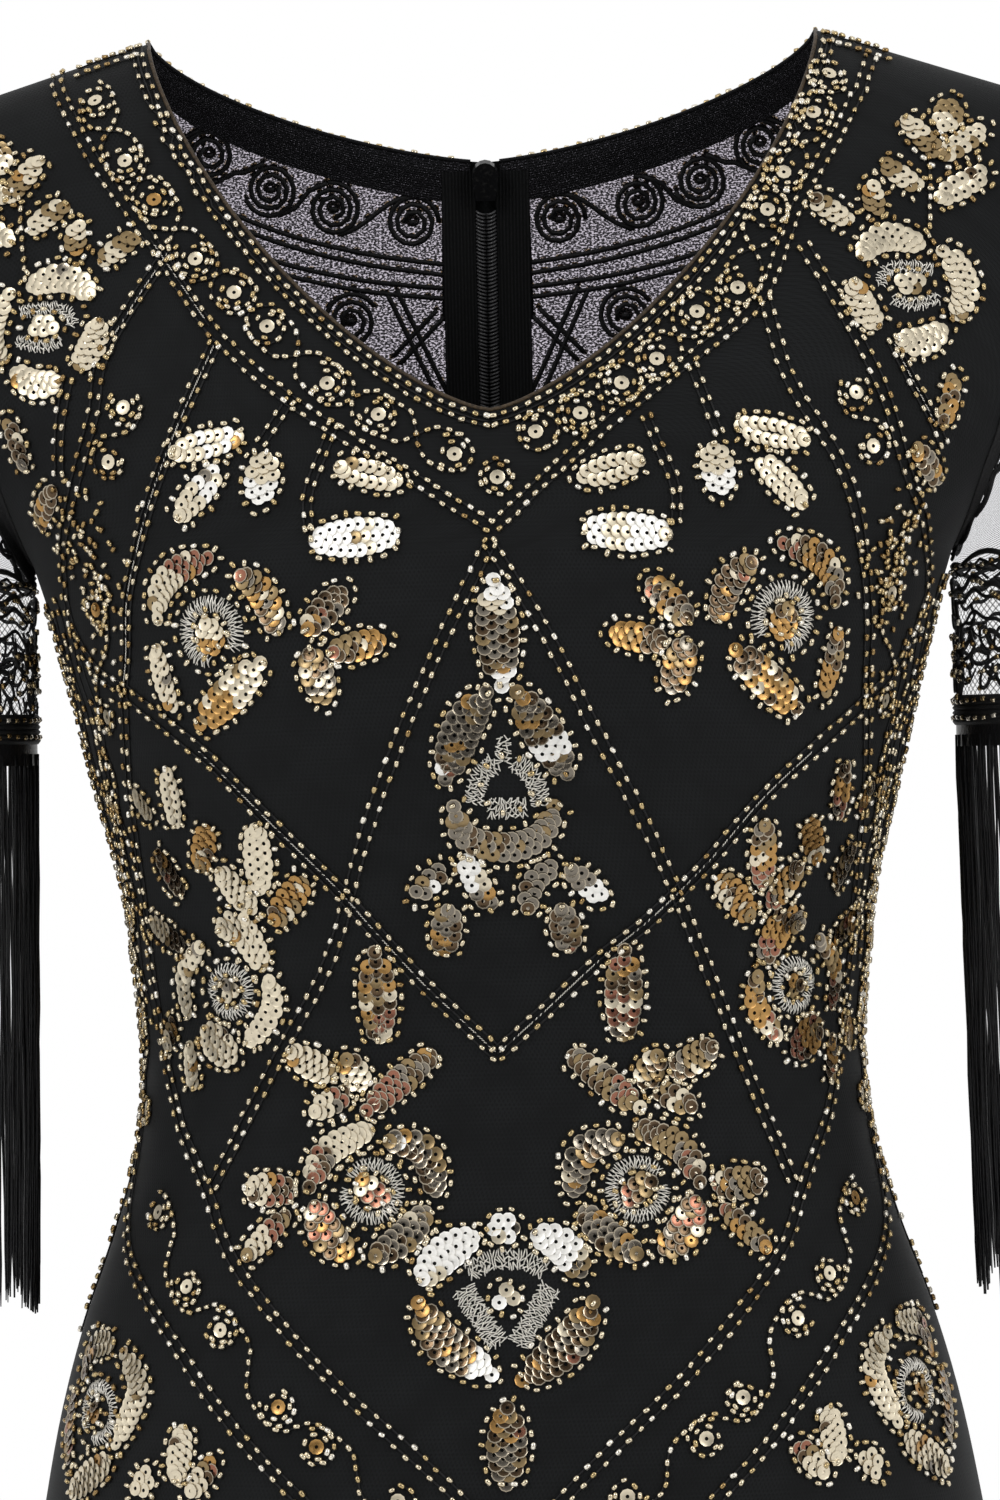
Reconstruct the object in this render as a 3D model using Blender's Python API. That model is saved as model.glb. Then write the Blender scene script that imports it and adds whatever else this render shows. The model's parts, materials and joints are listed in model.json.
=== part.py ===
"""Flapper dress: V neck, short sleeves with lace cuffs and fringe, zip at the centre back.

Metres, +Z up. The front faces -Y. Left and right are the wearer's, so left is +X.
The origin is midway between the neck ends of the two shoulder seams, at their height.
Each cloth piece is a closed wall, and neighbouring pieces stay SEAM_GAP apart.
"""

import math
import random

import bmesh
import bpy
from mathutils import Matrix, Vector

FRONT, BACK = -1, 1
SIDES = (("left", 1), ("right", -1))

# Cloth
CLOTH_THICKNESS = 0.0015
SEAM_GAP = 0.0003

# Shoulders and neckline
NECK_HALF_WIDTH = 0.115
FRONT_NECK_DROP = 0.133
BACK_NECK_DROP = 0.0385
NECKLINE_EXPONENT = 1.42
SHOULDER_TIP_X = 0.190
SHOULDER_TIP_Z = -0.024
SHOULDER_SLOPE = -SHOULDER_TIP_Z / (SHOULDER_TIP_X - NECK_HALF_WIDTH)
SHOULDER_FADE_TOP = -0.060
UNDERARM_Z = -0.180

# Chest and back above the underarm: a slope, and a lip that rounds off the shoulder
FRONT_SLOPE, FRONT_LIP, FRONT_LIP_LENGTH, FRONT_LIP_POWER = 0.53, 0.026, 0.020, 0.5
BUST_EASE_DROP, BUST_EASE = 0.120, 1.9
BACK_SLOPE, BACK_LIP, BACK_LIP_LENGTH, BACK_LIP_POWER = 0.18, 0.075, 0.040, 0.7

# Level sections from hem to underarm, each a superellipse: height, half width, depth before
# and behind the side seams
SECTION_EXPONENT = 2.3
SECTIONS = (
    # z, half width, front depth, back depth
    (-0.950, 0.1650, 0.1020, 0.1140),
    (-0.820, 0.1672, 0.1040, 0.1180),
    (-0.700, 0.1692, 0.1060, 0.1225),
    (-0.600, 0.1700, 0.1080, 0.1270),
    (-0.545, 0.1676, 0.1080, 0.1290),
    (-0.505, 0.1614, 0.1060, 0.1270),
    (-0.470, 0.1545, 0.1030, 0.1230),
    (-0.440, 0.1461, 0.0990, 0.1160),
    (-0.410, 0.1352, 0.0950, 0.1060),
    (-0.380, 0.1265, 0.0920, 0.0970),
    (-0.350, 0.1236, 0.0912, 0.0922),
    (-0.320, 0.1258, 0.0962, 0.0940),
    (-0.290, 0.1296, 0.1052, 0.0982),
    (-0.255, 0.1382, 0.1172, 0.1030),
    (-0.225, 0.1452, 0.1218, 0.1066),
    (-0.200, 0.1518, 0.1194, 0.1076),
    (-0.180, 0.1580, 0.1146, 0.1068),
)

# The armhole seam seen from the front
ARMHOLE = (
    # z, half width
    (-0.180, 0.1580),
    (-0.165, 0.1632),
    (-0.151, 0.1678),
    (-0.139, 0.1722),
    (-0.120, 0.1765),
    (-0.090, 0.1795),
    (-0.050, 0.1845),
    (-0.024, 0.1900),
)
ARMHOLE_FRONT_REACH = 0.92
ARMHOLE_BACK_REACH = 0.86

# Soft upright folds of the skirt, strongest at the hem
FOLD_TOP_Z = -0.580
FOLDS = (
    # degrees round from the centre front, depth at the hem, half width in degrees
    (-152.0, 0.0050, 12.0),
    (-118.0, 0.0042, 10.0),
    (-84.0, 0.0036, 12.0),
    (-49.0, 0.0048, 11.0),
    (-17.0, 0.0034, 10.0),
    (21.0, 0.0046, 11.0),
    (58.0, 0.0038, 12.0),
    (96.0, 0.0044, 10.0),
    (129.0, 0.0036, 11.0),
    (161.0, 0.0046, 10.0),
)

# Mesh rows and columns
LOWER_ROWS = (
    -0.950,
    -0.880,
    -0.810,
    -0.740,
    -0.675,
    -0.612,
    -0.558,
    -0.508,
    -0.465,
    -0.425,
    -0.388,
    -0.350,
    -0.312,
    -0.274,
    -0.240,
    -0.208,
    UNDERARM_Z,
)
UPPER_ROWS = 10
NECK_COLUMNS = 8
SHOULDER_COLUMNS = 4
COLUMNS = NECK_COLUMNS + SHOULDER_COLUMNS
ROWS = len(LOWER_ROWS) - 1 + UPPER_ROWS

# Sleeves, cuffs and fringe hang as one upright tube at each side
TUBE_X = 0.2065
TUBE_HALF_WIDTH = 0.048
TUBE_HALF_DEPTH = 0.050
SLEEVE_RINGS = 7
CUFF_TOP_Z = -0.190
CUFF_BOTTOM_Z = -0.240
CUFF_SEGMENTS = 36
HEADER_BOTTOM_Z = -0.248
FRINGE_BOTTOM_Z = -0.4365
FRINGE_STRANDS = 72
STRAND_SHARE = 0.62
STRAND_TIP_SCALE = 0.85
FRINGE_LEAN = 0.0034
TIP_SPREAD = 0.004
SWAY = 0.0007

# Zip
ZIP_BOTTOM_ROW = LOWER_ROWS.index(-0.425)
TAPE_INNER_X = 0.0034
TAPE_OUTER_X = 0.0155
TAPE_THICKNESS = 0.0010
COIL_HALF_WIDTH = 0.0031
COIL_THICKNESS = 0.0020
COIL_END_GAP = 0.0009
ZIP_MOUTH_HALF_GAP = 0.0013
SLIDER_FOOT = 0.0045
SLIDER_LENGTH = 0.0152
SLIDER_HALF_WIDTH = 0.0047
SLIDER_THICKNESS = 0.0026
SLIDER_LIFT = 0.0016
LUG_HALF_THICKNESS = 0.0006
LUG_RADIUS = 0.0022
LUG_ROOT_HALF_LENGTH = 0.0026
LUG_ALONG = 0.0085
PIVOT_OUT = 0.0040
PIVOT_HOLE_RADIUS = 0.0010
PIVOT_PIN_RADIUS = 0.0006
PULL_THICKNESS = 0.0015
PULL_LENGTH = 0.0225
PULL_HALF_WIDTH = 0.0034
PULL_NECK_HALF_WIDTH = 0.0023
PULL_SLOT_HALF_WIDTH = 0.0009
PULL_HEAD = 0.0010
PULL_ARM_LENGTH = 0.0045
PULL_REST_TILT = math.radians(7.0)
ROUND_STEPS = 8

FACING_TOP_SHARE = 0.96


# Materials


def material(name, colour, roughness, metallic=0.0):
    made = bpy.data.materials.new(name)
    made.use_nodes = True
    shader = made.node_tree.nodes["Principled BSDF"]
    shader.inputs["Base Color"].default_value = (*colour, 1.0)
    shader.inputs["Roughness"].default_value = roughness
    shader.inputs["Metallic"].default_value = metallic
    return made


# Numbers along curves


def mix(start, end, share):
    return start + (end - start) * share


def ease(share):
    share = min(max(share, 0.0), 1.0)
    return share * share * (3.0 - 2.0 * share)


def smooth_lookup(table, column, height):
    """One column's value at this height, on a smooth curve through the table's rows."""
    last = len(table) - 1
    height = min(max(height, table[0][0]), table[last][0])
    low = max(k for k in range(last) if table[k][0] <= height)

    def slope(k):
        before, after = table[max(k - 1, 0)], table[min(k + 1, last)]
        return (after[column] - before[column]) / (after[0] - before[0])

    span = table[low + 1][0] - table[low][0]
    share = (height - table[low][0]) / span
    return hermite(
        table[low][column],
        slope(low) * span,
        table[low + 1][column],
        slope(low + 1) * span,
        share,
    )


def hermite(start, start_slope, end, end_slope, share):
    square, cube = share**2, share**3
    return (
        start * (2 * cube - 3 * square + 1)
        + start_slope * (cube - 2 * square + share)
        + end * (3 * square - 2 * cube)
        + end_slope * (cube - square)
    )


def even_shares(curve, count, samples=400):
    """Parameters in 0..1 that cut a curve into count stretches of one length."""
    points = [curve(k / samples) for k in range(samples + 1)]
    lengths = [0.0]
    for before, after in zip(points, points[1:]):
        lengths.append(lengths[-1] + (after - before).length)
    shares = []
    for k in range(count + 1):
        wanted = lengths[-1] * k / count
        index = min(next(i for i, length in enumerate(lengths) if length >= wanted * 0.999999), samples)
        shares.append(index / samples)
    shares[0], shares[-1] = 0.0, 1.0
    return shares


# The worn form


def armhole_share(z):
    """0 at the underarm to 1 at the shoulder tip, even along the rounded seam."""
    height = (z - UNDERARM_Z) / (SHOULDER_TIP_Z - UNDERARM_Z)
    return math.acos(1.0 - 2.0 * min(max(height, 0.0), 1.0)) / math.pi


def armhole_height(share):
    return mix(UNDERARM_Z, SHOULDER_TIP_Z, (1.0 - math.cos(math.pi * share)) / 2.0)


def shoulder_drop(x):
    return max(abs(x) - NECK_HALF_WIDTH, 0.0) * SHOULDER_SLOPE


def depth(side, x, z):
    """Distance from the side seams' plane to the centre of the front or back at this height."""
    if z <= UNDERARM_Z:
        return smooth_lookup(SECTIONS, 2 if side == FRONT else 3, z)
    fade = ease((z - UNDERARM_Z) / (SHOULDER_FADE_TOP - UNDERARM_Z))
    below = max(-z - shoulder_drop(x) * fade, 0.0)
    if side == FRONT:
        lip = (1.0 - math.exp(-below / FRONT_LIP_LENGTH)) ** FRONT_LIP_POWER
        eased = BUST_EASE * max(below - BUST_EASE_DROP, 0.0) ** 2
        return FRONT_SLOPE * below - eased + FRONT_LIP * lip
    lip = (1.0 - math.exp(-below / BACK_LIP_LENGTH)) ** BACK_LIP_POWER
    return BACK_SLOPE * below + BACK_LIP * lip


def half_width(side, z):
    """Half width of the section that the surface follows. Above the underarm it is wider than
    the panel, so that the panel stops at the armhole seam."""
    if z <= UNDERARM_Z:
        return smooth_lookup(SECTIONS, 1, z)
    peak = ARMHOLE_FRONT_REACH if side == FRONT else ARMHOLE_BACK_REACH
    reach = peak * math.sin(math.pi / 2.0 * armhole_share(z))
    flat = (1.0 - reach**SECTION_EXPONENT) ** (1.0 / SECTION_EXPONENT)
    return smooth_lookup(ARMHOLE, 1, z) / flat


def fold_scale(x, y, z):
    """How far the skirt's folds move a point away from the upright axis, as a factor."""
    growth = ease((FOLD_TOP_Z - z) / (FOLD_TOP_Z - LOWER_ROWS[0]))
    around = math.degrees(math.atan2(x, -y))
    push = 0.0
    for degrees, crest, spread in FOLDS:
        away = (around - degrees + 180.0) % 360.0 - 180.0
        push += crest * math.exp(-((away / spread) ** 2))
    return 1.0 + growth * push / max(math.hypot(x, y), 0.01)


def level(side, point):
    """0 on the surface and more outside it."""
    x, y, z = point
    scale = fold_scale(x, y, z)
    across = (abs(x) / scale / half_width(side, z)) ** SECTION_EXPONENT
    deep = (abs(y) / scale / max(depth(side, x, z), 1e-6)) ** SECTION_EXPONENT
    return across + deep - 1.0


def outward(side, point, step=0.0001):
    slopes = []
    for axis in range(3):
        shift = Vector((0.0, 0.0, 0.0))
        shift[axis] = step
        slopes.append(level(side, point + shift) - level(side, point - shift))
    return Vector(slopes).normalized()


def surface_point(side, x, z):
    ratio = min(abs(x) / half_width(side, z), 1.0)
    y = side * depth(side, x, z) * (1.0 - ratio**SECTION_EXPONENT) ** (1.0 / SECTION_EXPONENT)
    scale = fold_scale(x, y, z)
    return Vector((x * scale, y * scale, z))


# Panel grids


def neckline(side):
    """(x, z) of the neckline from the centre to the neck point, in NECK_COLUMNS even steps."""
    drop = FRONT_NECK_DROP if side == FRONT else BACK_NECK_DROP
    power = 2.0 / NECKLINE_EXPONENT

    def edge(share):
        angle = math.pi / 2.0 * share
        return Vector(
            (NECK_HALF_WIDTH * math.sin(angle) ** power, -drop * abs(math.cos(angle)) ** power)
        )

    points = [edge(share) for share in even_shares(edge, NECK_COLUMNS)]
    points[-1] = Vector((NECK_HALF_WIDTH, 0.0))
    return points


def top_edge(side):
    """(x, z) of the panel's top edge: along the neckline, then along the shoulder seam."""
    points = neckline(side)
    for k in range(1, SHOULDER_COLUMNS + 1):
        x = mix(NECK_HALF_WIDTH, SHOULDER_TIP_X, k / SHOULDER_COLUMNS)
        points.append(Vector((x, -shoulder_drop(x))))
    return points


def column_angles(side):
    """Angles on the underarm section that space the columns evenly round it."""
    power = 2.0 / SECTION_EXPONENT
    wide = half_width(side, UNDERARM_Z)
    deep = depth(side, 0.0, UNDERARM_Z)

    def section(share):
        angle = math.pi / 2.0 * share
        return Vector((wide * math.sin(angle) ** power, deep * abs(math.cos(angle)) ** power))

    return [math.pi / 2.0 * share for share in even_shares(section, COLUMNS)]


def half_panel(side):
    """Outer points and outward directions of the +X half, as rows from hem to top, each from
    the centre to the side seam or armhole."""
    power = 2.0 / SECTION_EXPONENT
    angles = column_angles(side)
    tops = top_edge(side)
    points = []
    for z in LOWER_ROWS:
        wide = half_width(side, z)
        points.append([surface_point(side, wide * math.sin(angle) ** power, z) for angle in angles])
    bases = [Vector((point.x, UNDERARM_Z)) for point in points[-1]]
    for k in range(1, UPPER_ROWS + 1):
        share = k / UPPER_ROWS
        rounded = (1.0 - math.cos(math.pi * share)) / 2.0
        bulge = smooth_lookup(ARMHOLE, 1, armhole_height(share)) - mix(bases[-1].x, tops[-1].x, rounded)
        row = []
        for column, (base, top) in enumerate(zip(bases, tops)):
            outer = column / COLUMNS
            x, z = mix(base, top, mix(share, rounded, outer))
            row.append(surface_point(side, x + bulge * outer**3, z))
        points.append(row)
    directions = [[outward(side, point) for point in row] for row in points]
    for column in range(NECK_COLUMNS, COLUMNS + 1):
        points[-1][column].y = 0.0
        directions[-1][column] = shoulder_normal()
    for row in range(len(LOWER_ROWS)):
        points[row][-1].y = 0.0
        directions[row][-1].y = 0.0
        directions[row][-1].normalize()
    for row in range(ROWS + 1):
        directions[row][0].x = 0.0
        directions[row][0].normalize()
    return points, directions


def shoulder_normal():
    return Vector((SHOULDER_SLOPE, 0.0, 1.0)).normalized()


def armhole_seam(points, directions):
    """Points, outward directions and directions away from the body, from underarm to tip."""
    first = len(LOWER_ROWS) - 1
    seam = [points[row][-1].copy() for row in range(first, ROWS + 1)]
    normals = [directions[row][-1].copy() for row in range(first, ROWS + 1)]
    away = []
    for k, normal in enumerate(normals):
        along = seam[min(k + 1, UPPER_ROWS)] - seam[max(k - 1, 0)]
        leaving = along.cross(normal).normalized()
        if k == 0:
            leaving = Vector((-normal.z, 0.0, normal.x))
        elif k == UPPER_ROWS:
            leaving = Vector((normal.z, 0.0, -normal.x))
        elif leaving.dot(seam[k] - points[first + k][-2]) < 0.0:
            leaving = -leaving
        away.append(leaving)
    return seam, normals, away


def open_seams(side, points, away):
    """Moves the edges of a half panel back from its seams by half the seam gap."""
    half = SEAM_GAP / 2.0
    first = len(LOWER_ROWS) - 1
    for row in range(first + 1):
        points[row][-1].y += side * half
    for column in range(NECK_COLUMNS, COLUMNS + 1):
        points[-1][column].y += side * half
    for k in range(UPPER_ROWS + 1):
        points[first + k][-1] -= away[k] * half


def zip_half_gap(row):
    """Half the gap between the back panels: the seam gap, and wider at the slider."""
    if row == ROWS:
        return ZIP_MOUTH_HALF_GAP
    if row == ROWS - 1:
        return mix(ZIP_MOUTH_HALF_GAP, SEAM_GAP / 2.0, 0.25)
    return SEAM_GAP / 2.0


# Solids


def flipped(grid):
    return [[Vector((-point.x, point.y, point.z)) for point in row] for row in grid]


def finish_mesh(name, mesh_maker, look, smooth=True):
    """Turns the bmesh's faces out, links it as an object and gives it its material."""
    bmesh.ops.recalc_face_normals(mesh_maker, faces=mesh_maker.faces)
    if mesh_maker.calc_volume(signed=True) < 0.0:
        bmesh.ops.reverse_faces(mesh_maker, faces=mesh_maker.faces)
    mesh = bpy.data.meshes.new(name)
    mesh_maker.to_mesh(mesh)
    mesh_maker.free()
    mesh.materials.append(look)
    if smooth:
        mesh.shade_smooth()
        mesh.set_sharp_from_angle(angle=math.radians(50.0))
    made = bpy.data.objects.new(name, mesh)
    bpy.context.scene.collection.objects.link(made)
    return made


def wall(name, outer, inner, look, ring=False):
    """Closed wall between two grids of points. With ring, each row closes on itself."""
    maker = bmesh.new()
    faces = [[[maker.verts.new(point) for point in row] for row in grid] for grid in (outer, inner)]
    rows, columns = len(outer), len(outer[0])
    steps = columns if ring else columns - 1
    for grid in faces:
        for row in range(rows - 1):
            for column in range(steps):
                after = (column + 1) % columns
                maker.faces.new(
                    (grid[row][column], grid[row][after], grid[row + 1][after], grid[row + 1][column])
                )
    near, far = faces
    for row in (0, rows - 1):
        for column in range(steps):
            after = (column + 1) % columns
            maker.faces.new(
                (near[row][column], near[row][after], far[row][after], far[row][column])
            )
    if not ring:
        for column in (0, columns - 1):
            for row in range(rows - 1):
                maker.faces.new(
                    (
                        near[row][column],
                        near[row + 1][column],
                        far[row + 1][column],
                        far[row][column],
                    )
                )
    return finish_mesh(name, maker, look)


def moved_in(points, directions, distance):
    return [
        [point - direction * distance for point, direction in zip(row, along)]
        for row, along in zip(points, directions)
    ]


def prism(name, outline, low, high, look, place):
    """An outline in the local XY plane, extruded from low to high along local Z and placed."""
    maker = bmesh.new()
    ends = [[maker.verts.new(place @ Vector((x, y, z))) for x, y in outline] for z in (low, high)]
    for end in ends:
        maker.faces.new(end)
    for k in range(len(outline)):
        after = (k + 1) % len(outline)
        maker.faces.new((ends[0][k], ends[0][after], ends[1][after], ends[1][k]))
    return finish_mesh(name, maker, look)


def join_with(target, other, operation):
    """Adds or cuts another solid, which stays in the file as a hidden helper."""
    other.hide_render = True
    other.hide_set(True)
    other.display_type = "WIRE"
    change = target.modifiers.new(operation.lower(), "BOOLEAN")
    change.operation = operation
    change.object = other
    change.solver = "EXACT"


def circle(radius, steps, centre=(0.0, 0.0), start=0.0, turn=2.0 * math.pi, closed=True):
    count = steps if closed else steps + 1
    return [
        (
            centre[0] + radius * math.cos(start + turn * k / steps),
            centre[1] + radius * math.sin(start + turn * k / steps),
        )
        for k in range(count)
    ]


# The dress


def make_front(points, directions, look):
    inner = moved_in(points, directions, CLOTH_THICKNESS)
    grids = []
    for grid in (points, inner):
        mirrored = flipped(grid)
        rows = []
        for right_row, left_row in zip(mirrored, grid):
            rows.append(right_row[:0:-1] + left_row)
        grids.append(rows)
    wall("front_panel", grids[0], grids[1], look)


def make_back(points, directions, look):
    """Both back panels. Returns the left one's inner points for what lies on them."""
    for row in range(ROWS + 1):
        points[row][0].x = zip_half_gap(row)
    inner = moved_in(points, directions, CLOTH_THICKNESS)
    wall("back_panel_left", points, inner, look)
    wall("back_panel_right", flipped(points), flipped(inner), look)
    return inner


def make_sleeves(front_seam, back_seam, look):
    """Lofts from the armhole seam to the cuff. Columns run from the tip down the front to the
    underarm and up the back."""
    starts, normals, leaving, angles = [], [], [], []
    for k in range(UPPER_ROWS, -1, -1):
        starts.append(front_seam[0][k])
        normals.append(front_seam[1][k])
        leaving.append(front_seam[2][k])
        angles.append(-math.pi * (1.0 - k / UPPER_ROWS))
    for k in range(1, UPPER_ROWS):
        starts.append(back_seam[0][k])
        normals.append(back_seam[1][k])
        leaving.append(back_seam[2][k])
        angles.append(math.pi * (1.0 - k / UPPER_ROWS))
    rings = []
    for ring in range(SLEEVE_RINGS + 1):
        share = ring / SLEEVE_RINGS
        row = []
        for start, away, angle in zip(starts, leaving, angles):
            start = start + away * (SEAM_GAP / 2.0)
            end = tube_point(angle, CUFF_TOP_Z + SEAM_GAP / 2.0)
            length = (end - start).length
            first = away * (0.020 + 0.70 * length)
            last = Vector((0.0, 0.0, -1.0)) * (0.016 + 0.80 * length)
            row.append(hermite(start, first, end, last, share))
        rings.append(row)
    inner = []
    count = len(starts)
    for ring, row in enumerate(rings):
        below, above = rings[min(ring + 1, SLEEVE_RINGS)], rings[max(ring - 1, 0)]
        inner_row = []
        for k, point in enumerate(row):
            down = below[k] - above[k]
            around = row[(k - 1) % count] - row[(k + 1) % count]
            normal = down.cross(around).normalized()
            if ring == 0:
                normal = normals[k]
            if ring == SLEEVE_RINGS:
                normal.z = 0.0
                normal.normalize()
            inner_row.append(point - normal * CLOTH_THICKNESS)
        inner.append(inner_row)
    wall("sleeve_left", rings, inner, look, ring=True)
    wall("sleeve_right", flipped(rings), flipped(inner), look, ring=True)


def tube_point(angle, z, inset=0.0):
    """A point of the hanging tube at the left side. Angle 0 is its outer side, and the front
    is negative."""
    return Vector(
        (
            TUBE_X + (TUBE_HALF_WIDTH - inset) * math.cos(angle),
            (TUBE_HALF_DEPTH - inset) * math.sin(angle),
            z,
        )
    )


def make_cuffs(look):
    heights = (CUFF_TOP_Z - SEAM_GAP / 2.0, mix(CUFF_TOP_Z, CUFF_BOTTOM_Z, 0.5), CUFF_BOTTOM_Z)
    angles = [2.0 * math.pi * k / CUFF_SEGMENTS for k in range(CUFF_SEGMENTS)]
    outer = [[tube_point(angle, z) for angle in angles] for z in heights]
    inner = [[tube_point(angle, z, CLOTH_THICKNESS) for angle in angles] for z in heights]
    wall("cuff_left", outer, inner, look, ring=True)
    wall("cuff_right", flipped(outer), flipped(inner), look, ring=True)


def make_fringe(name, side, look):
    """A header band with the strands drawn out of its lower edge."""
    chance = random.Random(name)
    maker = bmesh.new()
    steps = 2 * FRINGE_STRANDS
    pitch = 2.0 * math.pi / FRINGE_STRANDS
    angles = []
    for k in range(FRINGE_STRANDS):
        angles += [pitch * k, pitch * (k + STRAND_SHARE)]
    rings = {}
    for height, z in (("top", CUFF_BOTTOM_Z - SEAM_GAP), ("low", HEADER_BOTTOM_Z)):
        for layer, inset in (("outer", 0.0), ("inner", CLOTH_THICKNESS)):
            points = [tube_point(angle, z, inset) for angle in angles]
            rings[height, layer] = [maker.verts.new((side * p.x, p.y, p.z)) for p in points]
    roots = []
    for k in range(steps):
        after = (k + 1) % steps
        corners = [(k, "outer"), (after, "outer"), (after, "inner"), (k, "inner")]
        maker.faces.new([rings["top", layer][index] for index, layer in corners])
        bottom = maker.faces.new([rings["low", layer][index] for index, layer in corners])
        if k % 2 == 0:
            roots.append(bottom)
        for layer in ("outer", "inner"):
            high, low = rings["top", layer], rings["low", layer]
            maker.faces.new((high[k], high[after], low[after], low[k]))
    for root in roots:
        corners = [corner.co.copy() for corner in root.verts]
        middle = root.calc_center_median()
        radial = Vector((middle.x - side * TUBE_X, middle.y, 0.0)).normalized()
        across = Vector((-radial.y, radial.x, 0.0))
        tip_z = FRINGE_BOTTOM_Z + chance.uniform(-TIP_SPREAD, TIP_SPREAD)
        lean = Vector((side * FRINGE_LEAN, 0.0, 0.0))
        face = root
        for share in (0.5, 1.0):
            scale = mix(1.0, STRAND_TIP_SCALE, share)
            centre = middle + lean * share + radial * chance.uniform(-SWAY, SWAY)
            centre += across * chance.uniform(-SWAY, SWAY) / 2.0
            centre.z = mix(middle.z, tip_z, share)
            face = bmesh.ops.extrude_discrete_faces(maker, faces=[face])["faces"][0]
            for vertex, corner in zip(face.verts, corners):
                vertex.co = centre + (corner - middle) * scale
    return finish_mesh(name, maker, look, smooth=False)


def make_neck_facings(inner, directions, look):
    """Strips inside the back neckline, from the zip tape to the shoulder."""
    outer_face, inner_face = [], []
    for share in (0.0, FACING_TOP_SHARE):
        near, far = [], []
        for column in range(NECK_COLUMNS + 1):
            base = inner[ROWS - 1][column].lerp(inner[ROWS][column], share)
            normal = directions[ROWS - 1][column].lerp(directions[ROWS][column], share).normalized()
            if column == 0:
                base, normal = at_width(inner, directions, ROWS - 1 + share, TAPE_OUTER_X + SEAM_GAP)
            near.append(base - normal * SEAM_GAP)
            far.append(base - normal * (SEAM_GAP + TAPE_THICKNESS))
        del near[1], far[1]
        outer_face.append(near)
        inner_face.append(far)
    wall("neck_facing_left", outer_face, inner_face, look)
    wall("neck_facing_right", flipped(outer_face), flipped(inner_face), look)


def at_width(inner, directions, row, x):
    """Point and outward direction on the back panel's inner side, at a row and distance x."""
    low = min(int(row), ROWS - 1)
    share = row - low
    points = [inner[low][column].lerp(inner[low + 1][column], share) for column in (0, 1)]
    normals = [directions[low][column].lerp(directions[low + 1][column], share) for column in (0, 1)]
    across = (x - points[0].x) / (points[1].x - points[0].x)
    return mix(points[0], points[1], across), mix(normals[0], normals[1], across).normalized()


def strip(inner, directions, rows, near_x, far_x, lift, thickness):
    """Outer and inner grids of a strip that lies inside the back panel along the zip."""
    outer_grid, inner_grid = [], []
    for row in rows:
        near, far = [], []
        for x in (near_x, far_x):
            point, normal = at_width(inner, directions, row, x)
            near.append(point - normal * lift)
            far.append(point - normal * (lift + thickness))
        outer_grid.append(near)
        inner_grid.append(far)
    return outer_grid, inner_grid


def make_zip(inner, directions, tape_look, coil_look, metal_look):
    rows = list(range(ZIP_BOTTOM_ROW, ROWS + 1))
    tape = strip(inner, directions, rows, TAPE_INNER_X, TAPE_OUTER_X, SEAM_GAP, TAPE_THICKNESS)
    wall("zip_tape_left", *tape, tape_look)
    wall("zip_tape_right", flipped(tape[0]), flipped(tape[1]), tape_look)

    foot, foot_normal = at_width(inner, directions, ROWS - 1, 0.0)
    head, head_normal = at_width(inner, directions, ROWS, 0.0)
    up = (head - foot).normalized()
    out = Vector((0.0, up.z, -up.y))
    coil_end = (SLIDER_FOOT - COIL_END_GAP) / (head - foot).length
    coil_rows = rows[:-1] + [ROWS - 1 + coil_end]
    half = strip(inner, directions, coil_rows, 0.0, COIL_HALF_WIDTH, SEAM_GAP, COIL_THICKNESS)
    coil = [
        [[Vector((-row[1].x, row[1].y, row[1].z)), row[0], row[1]] for row in grid] for grid in half
    ]
    wall("zip_coil", *coil, coil_look)

    # Slider frame: local X across, Y up along the zip, Z out through the back
    place = Matrix.Translation(foot + up * SLIDER_FOOT) @ Matrix(
        ((-1.0, 0.0, 0.0), (0.0, up.y, out.y), (0.0, up.z, out.z))
    ).to_4x4()
    make_slider(place, metal_look)
    make_pull(place, metal_look)


def make_slider(place, look):
    shoulder = SLIDER_LENGTH - SLIDER_HALF_WIDTH * 1.25
    outline = [(-SLIDER_HALF_WIDTH * 0.72, 0.0), (SLIDER_HALF_WIDTH * 0.72, 0.0)]
    for k in range(ROUND_STEPS + 1):
        angle = math.pi * k / ROUND_STEPS
        x = SLIDER_HALF_WIDTH * math.cos(angle)
        outline.append((x, shoulder + (SLIDER_LENGTH - shoulder) * math.sin(angle)))
    slider = prism(
        "zip_slider", outline, -SLIDER_LIFT - SLIDER_THICKNESS, -SLIDER_LIFT, look, place
    )
    # The lug stands in the YZ plane: its outline is (out, along)
    lug_place = place @ Matrix.Translation((0.0, LUG_ALONG, 0.0)) @ Matrix(
        ((0.0, 0.0, 1.0), (0.0, 1.0, 0.0), (-1.0, 0.0, 0.0))
    ).to_4x4()
    root = SLIDER_LIFT + 0.0005
    lug_outline = [(root, -LUG_ROOT_HALF_LENGTH), (root, LUG_ROOT_HALF_LENGTH)]
    lug_outline += circle(
        LUG_RADIUS, ROUND_STEPS, (-PIVOT_OUT, 0.0), math.pi / 2.0, math.pi, closed=False
    )
    lug = prism(
        "slider_lug", lug_outline, -LUG_HALF_THICKNESS, LUG_HALF_THICKNESS, look, lug_place
    )
    hole = prism(
        "slider_hole",
        circle(PIVOT_HOLE_RADIUS, 2 * ROUND_STEPS, (-PIVOT_OUT, 0.0)),
        -0.003,
        0.003,
        look,
        lug_place,
    )
    join_with(slider, lug, "UNION")
    join_with(slider, hole, "DIFFERENCE")


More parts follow.
